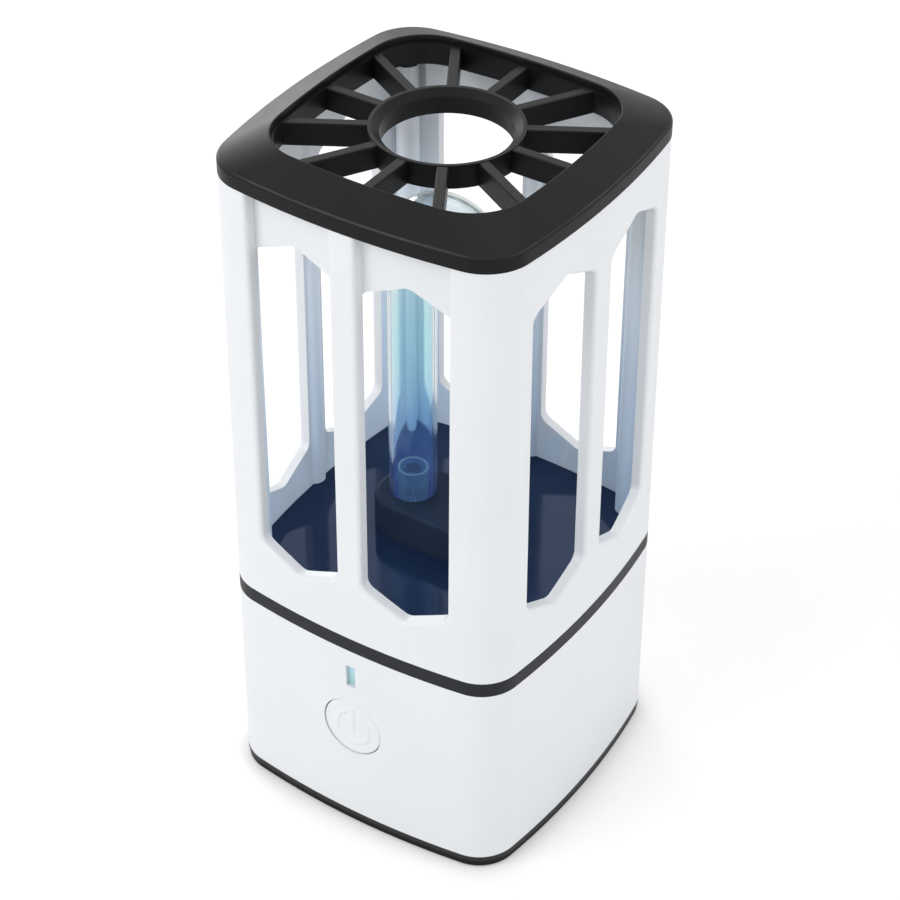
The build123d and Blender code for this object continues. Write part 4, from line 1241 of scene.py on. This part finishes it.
@dataclass
class ChargingSocket:
    """Gold contacts on the tongue of the socket in the back."""

    workshop: Workshop
    contacts: int = 6
    width: float = 0.5 * MM
    top_share: float = 0.7
    height: float = 0.06 * MM
    bite: float = 0.01 * MM
    length: float = 3.6 * MM
    end_gap: float = 0.3 * MM
    spread: float = 0.62
    half_tongue: float = 0.35 * MM

    def build(self) -> None:
        """Build the row of contacts on both faces of the tongue."""
        low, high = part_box("usb_tongue")
        middle = (low.z + high.z) / 2
        span = (high.x - low.x) * self.spread
        points: list[Point] = []
        faces: list[tuple[int, ...]] = []
        for index in range(self.contacts):
            x = (index / (self.contacts - 1) - 0.5) * span
            for side in (1, -1):
                base = middle + side * (self.half_tongue - self.bite)
                self._strip(points, faces, (x, high.y - self.end_gap, base), side)
        strips = mesh_object("socket_contacts", points, faces)
        self.workshop.place(strips, "electrode_nickel", Body.HOUSING)

    def _strip(self, points: list[Point], faces: list[tuple[int, ...]], end: Point, side: int) -> None:
        """Add one contact with bevelled long edges.

        Args:
            points: Vertices so far, which grow.
            faces: Faces so far, which grow.
            end: Middle of its outer end, where it sinks into the tongue.
            side: 1 above the tongue, -1 below it.
        """
        first = len(points)
        x, end_y, base = end
        half = self.width / 2
        top = half * self.top_share
        for y in (end_y - self.length, end_y):
            for offset, rise in ((-half, 0.0), (-top, 1.0), (top, 1.0), (half, 0.0)):
                points.append((x + offset, y, base + side * rise * (self.height + self.bite)))
        rows = [(0, 1, 5, 4), (1, 2, 6, 5), (2, 3, 7, 6), (3, 0, 4, 7), (0, 3, 2, 1), (4, 5, 6, 7)]
        for row in rows:
            order = row if side > 0 else row[::-1]
            faces.append(tuple(first + index for index in order))


@dataclass(frozen=True)
class Softbox:
    """One square soft light that faces the lamp."""

    name: str
    place: Point
    size: float
    watts: float

    def hang(self, target: Point) -> None:
        """Add the light.

        Args:
            target: The point that it faces.
        """
        data = bpy.data.lights.new(self.name, "AREA")
        data.shape = "SQUARE"
        data.size = self.size
        data.energy = self.watts
        light = bpy.data.objects.new(self.name, data)
        aim = Vector(target) - Vector(self.place)
        turned = aim.to_track_quat("-Z", "Y").to_matrix().to_4x4()
        light.matrix_world = Matrix.Translation(Vector(self.place)) @ turned
        bpy.context.scene.collection.objects.link(light)


@dataclass
class Studio:
    """Pale floor, soft lights and the camera at the photograph's angle."""

    azimuth: float = 33.16
    elevation: float = 37.45
    roll: float = -0.17
    distance: float = 491.46 * MM
    aim_z: float = 71.84 * MM
    focal_pixels: float = 2541.71
    centre_pixels: tuple[float, float] = (446.2, 454.16)
    frame_pixels: int = 900
    sensor: float = 36.0
    floor_size: float = 8.0
    floor_tone: float = 0.85
    floor_glow: float = 0.22
    floor_roughness: float = 0.9
    sky: float = 0.61
    background: float = 1.0
    clip_start: float = 10 * MM
    light_target: Point = (0.0, 0.0, 70 * MM)
    softboxes: tuple[Softbox, ...] = (
        Softbox("front_softbox", (-0.5, -0.9, 0.75), 0.8, 5.6),
        Softbox("side_softbox", (0.95, 0.1, 0.6), 0.7, 3.0),
        Softbox("top_softbox", (-0.4, 0.6, 1.0), 0.8, 1.8),
        Softbox("rim_softbox", (-0.95, 0.55, 0.35), 0.6, 3.0),
    )

    def camera(self) -> None:
        """Place the camera."""
        azimuth, elevation = math.radians(self.azimuth), math.radians(self.elevation)
        level = math.cos(elevation)
        back = Vector((math.sin(azimuth) * level, -math.cos(azimuth) * level, math.sin(elevation)))
        right = (-back).cross(Vector((0, 0, 1))).normalized()
        down = (-back).cross(right)
        turn = math.radians(self.roll)
        across = math.cos(turn) * right + math.sin(turn) * down
        upward = -(-math.sin(turn) * right + math.cos(turn) * down)
        data = bpy.data.cameras.new("camera")
        data.sensor_width = self.sensor
        data.lens = self.focal_pixels * self.sensor / self.frame_pixels
        half = self.frame_pixels / 2
        data.shift_x = (half - self.centre_pixels[0]) / self.frame_pixels
        data.shift_y = (self.centre_pixels[1] - half) / self.frame_pixels
        data.clip_start = self.clip_start
        camera = bpy.data.objects.new("camera", data)
        turned = Matrix((across, upward, back)).transposed().to_4x4()
        place = back * self.distance + Vector((0, 0, self.aim_z))
        camera.matrix_world = Matrix.Translation(place) @ turned
        bpy.context.scene.collection.objects.link(camera)
        bpy.context.scene.camera = camera

    def floor(self) -> None:
        """Add the pale floor, which reads white to the camera and keeps the shadow."""
        half = self.floor_size / 2
        corners = [(-half, -half, 0.0), (half, -half, 0.0), (half, half, 0.0), (-half, half, 0.0)]
        floor = mesh_object("studio_floor", corners, [(0, 1, 2, 3)])
        bench = ShaderBench.for_material("studio_floor")
        seen = Signal(bench, bench.node("ShaderNodeLightPath").outputs["Is Camera Ray"])
        tone = self.floor_tone
        bench.set(Base_Color=(tone, tone, tone, 1.0), Roughness=self.floor_roughness, Specular_IOR_Level=0.0)
        bench.set(Emission_Color=(1.0, 1.0, 1.0, 1.0), Emission_Strength=seen * self.floor_glow)
        floor.data.materials.append(bench.owner)

    def world(self) -> None:
        """Light the scene evenly, with a white background for what looks straight at it."""
        bench = ShaderBench.for_world("studio")
        path = bench.node("ShaderNodeLightPath")
        seen, through, mirrored = (
            Signal(bench, path.outputs[f"Is {kind} Ray"]) for kind in ("Camera", "Transmission", "Glossy")
        )
        straight = seen.larger(through.larger(mirrored))
        level = straight * (self.background - self.sky) + self.sky
        bench.set(Color=(1.0, 1.0, 1.0, 1.0), Strength=level)
        bpy.context.scene.world = bench.owner

    def build(self) -> None:
        """Set up camera, floor, lights and world."""
        bpy.context.scene.view_settings.view_transform = "Standard"
        self.camera()
        self.floor()
        self.world()
        for softbox in self.softboxes:
            softbox.hang(self.light_target)


def main() -> None:
    """Build the visual model piece by piece."""
    logging.basicConfig(level=logging.INFO, format="%(name)s: %(message)s")
    Studio().build()
    workshop = Workshop()
    workshop.prepare(finishes())
    workshop.dress_nodes()
    PowerButton(workshop).build()
    Lamp(workshop).build()
    ChargingSocket(workshop).build()


if __name__ == "__main__":
    main()
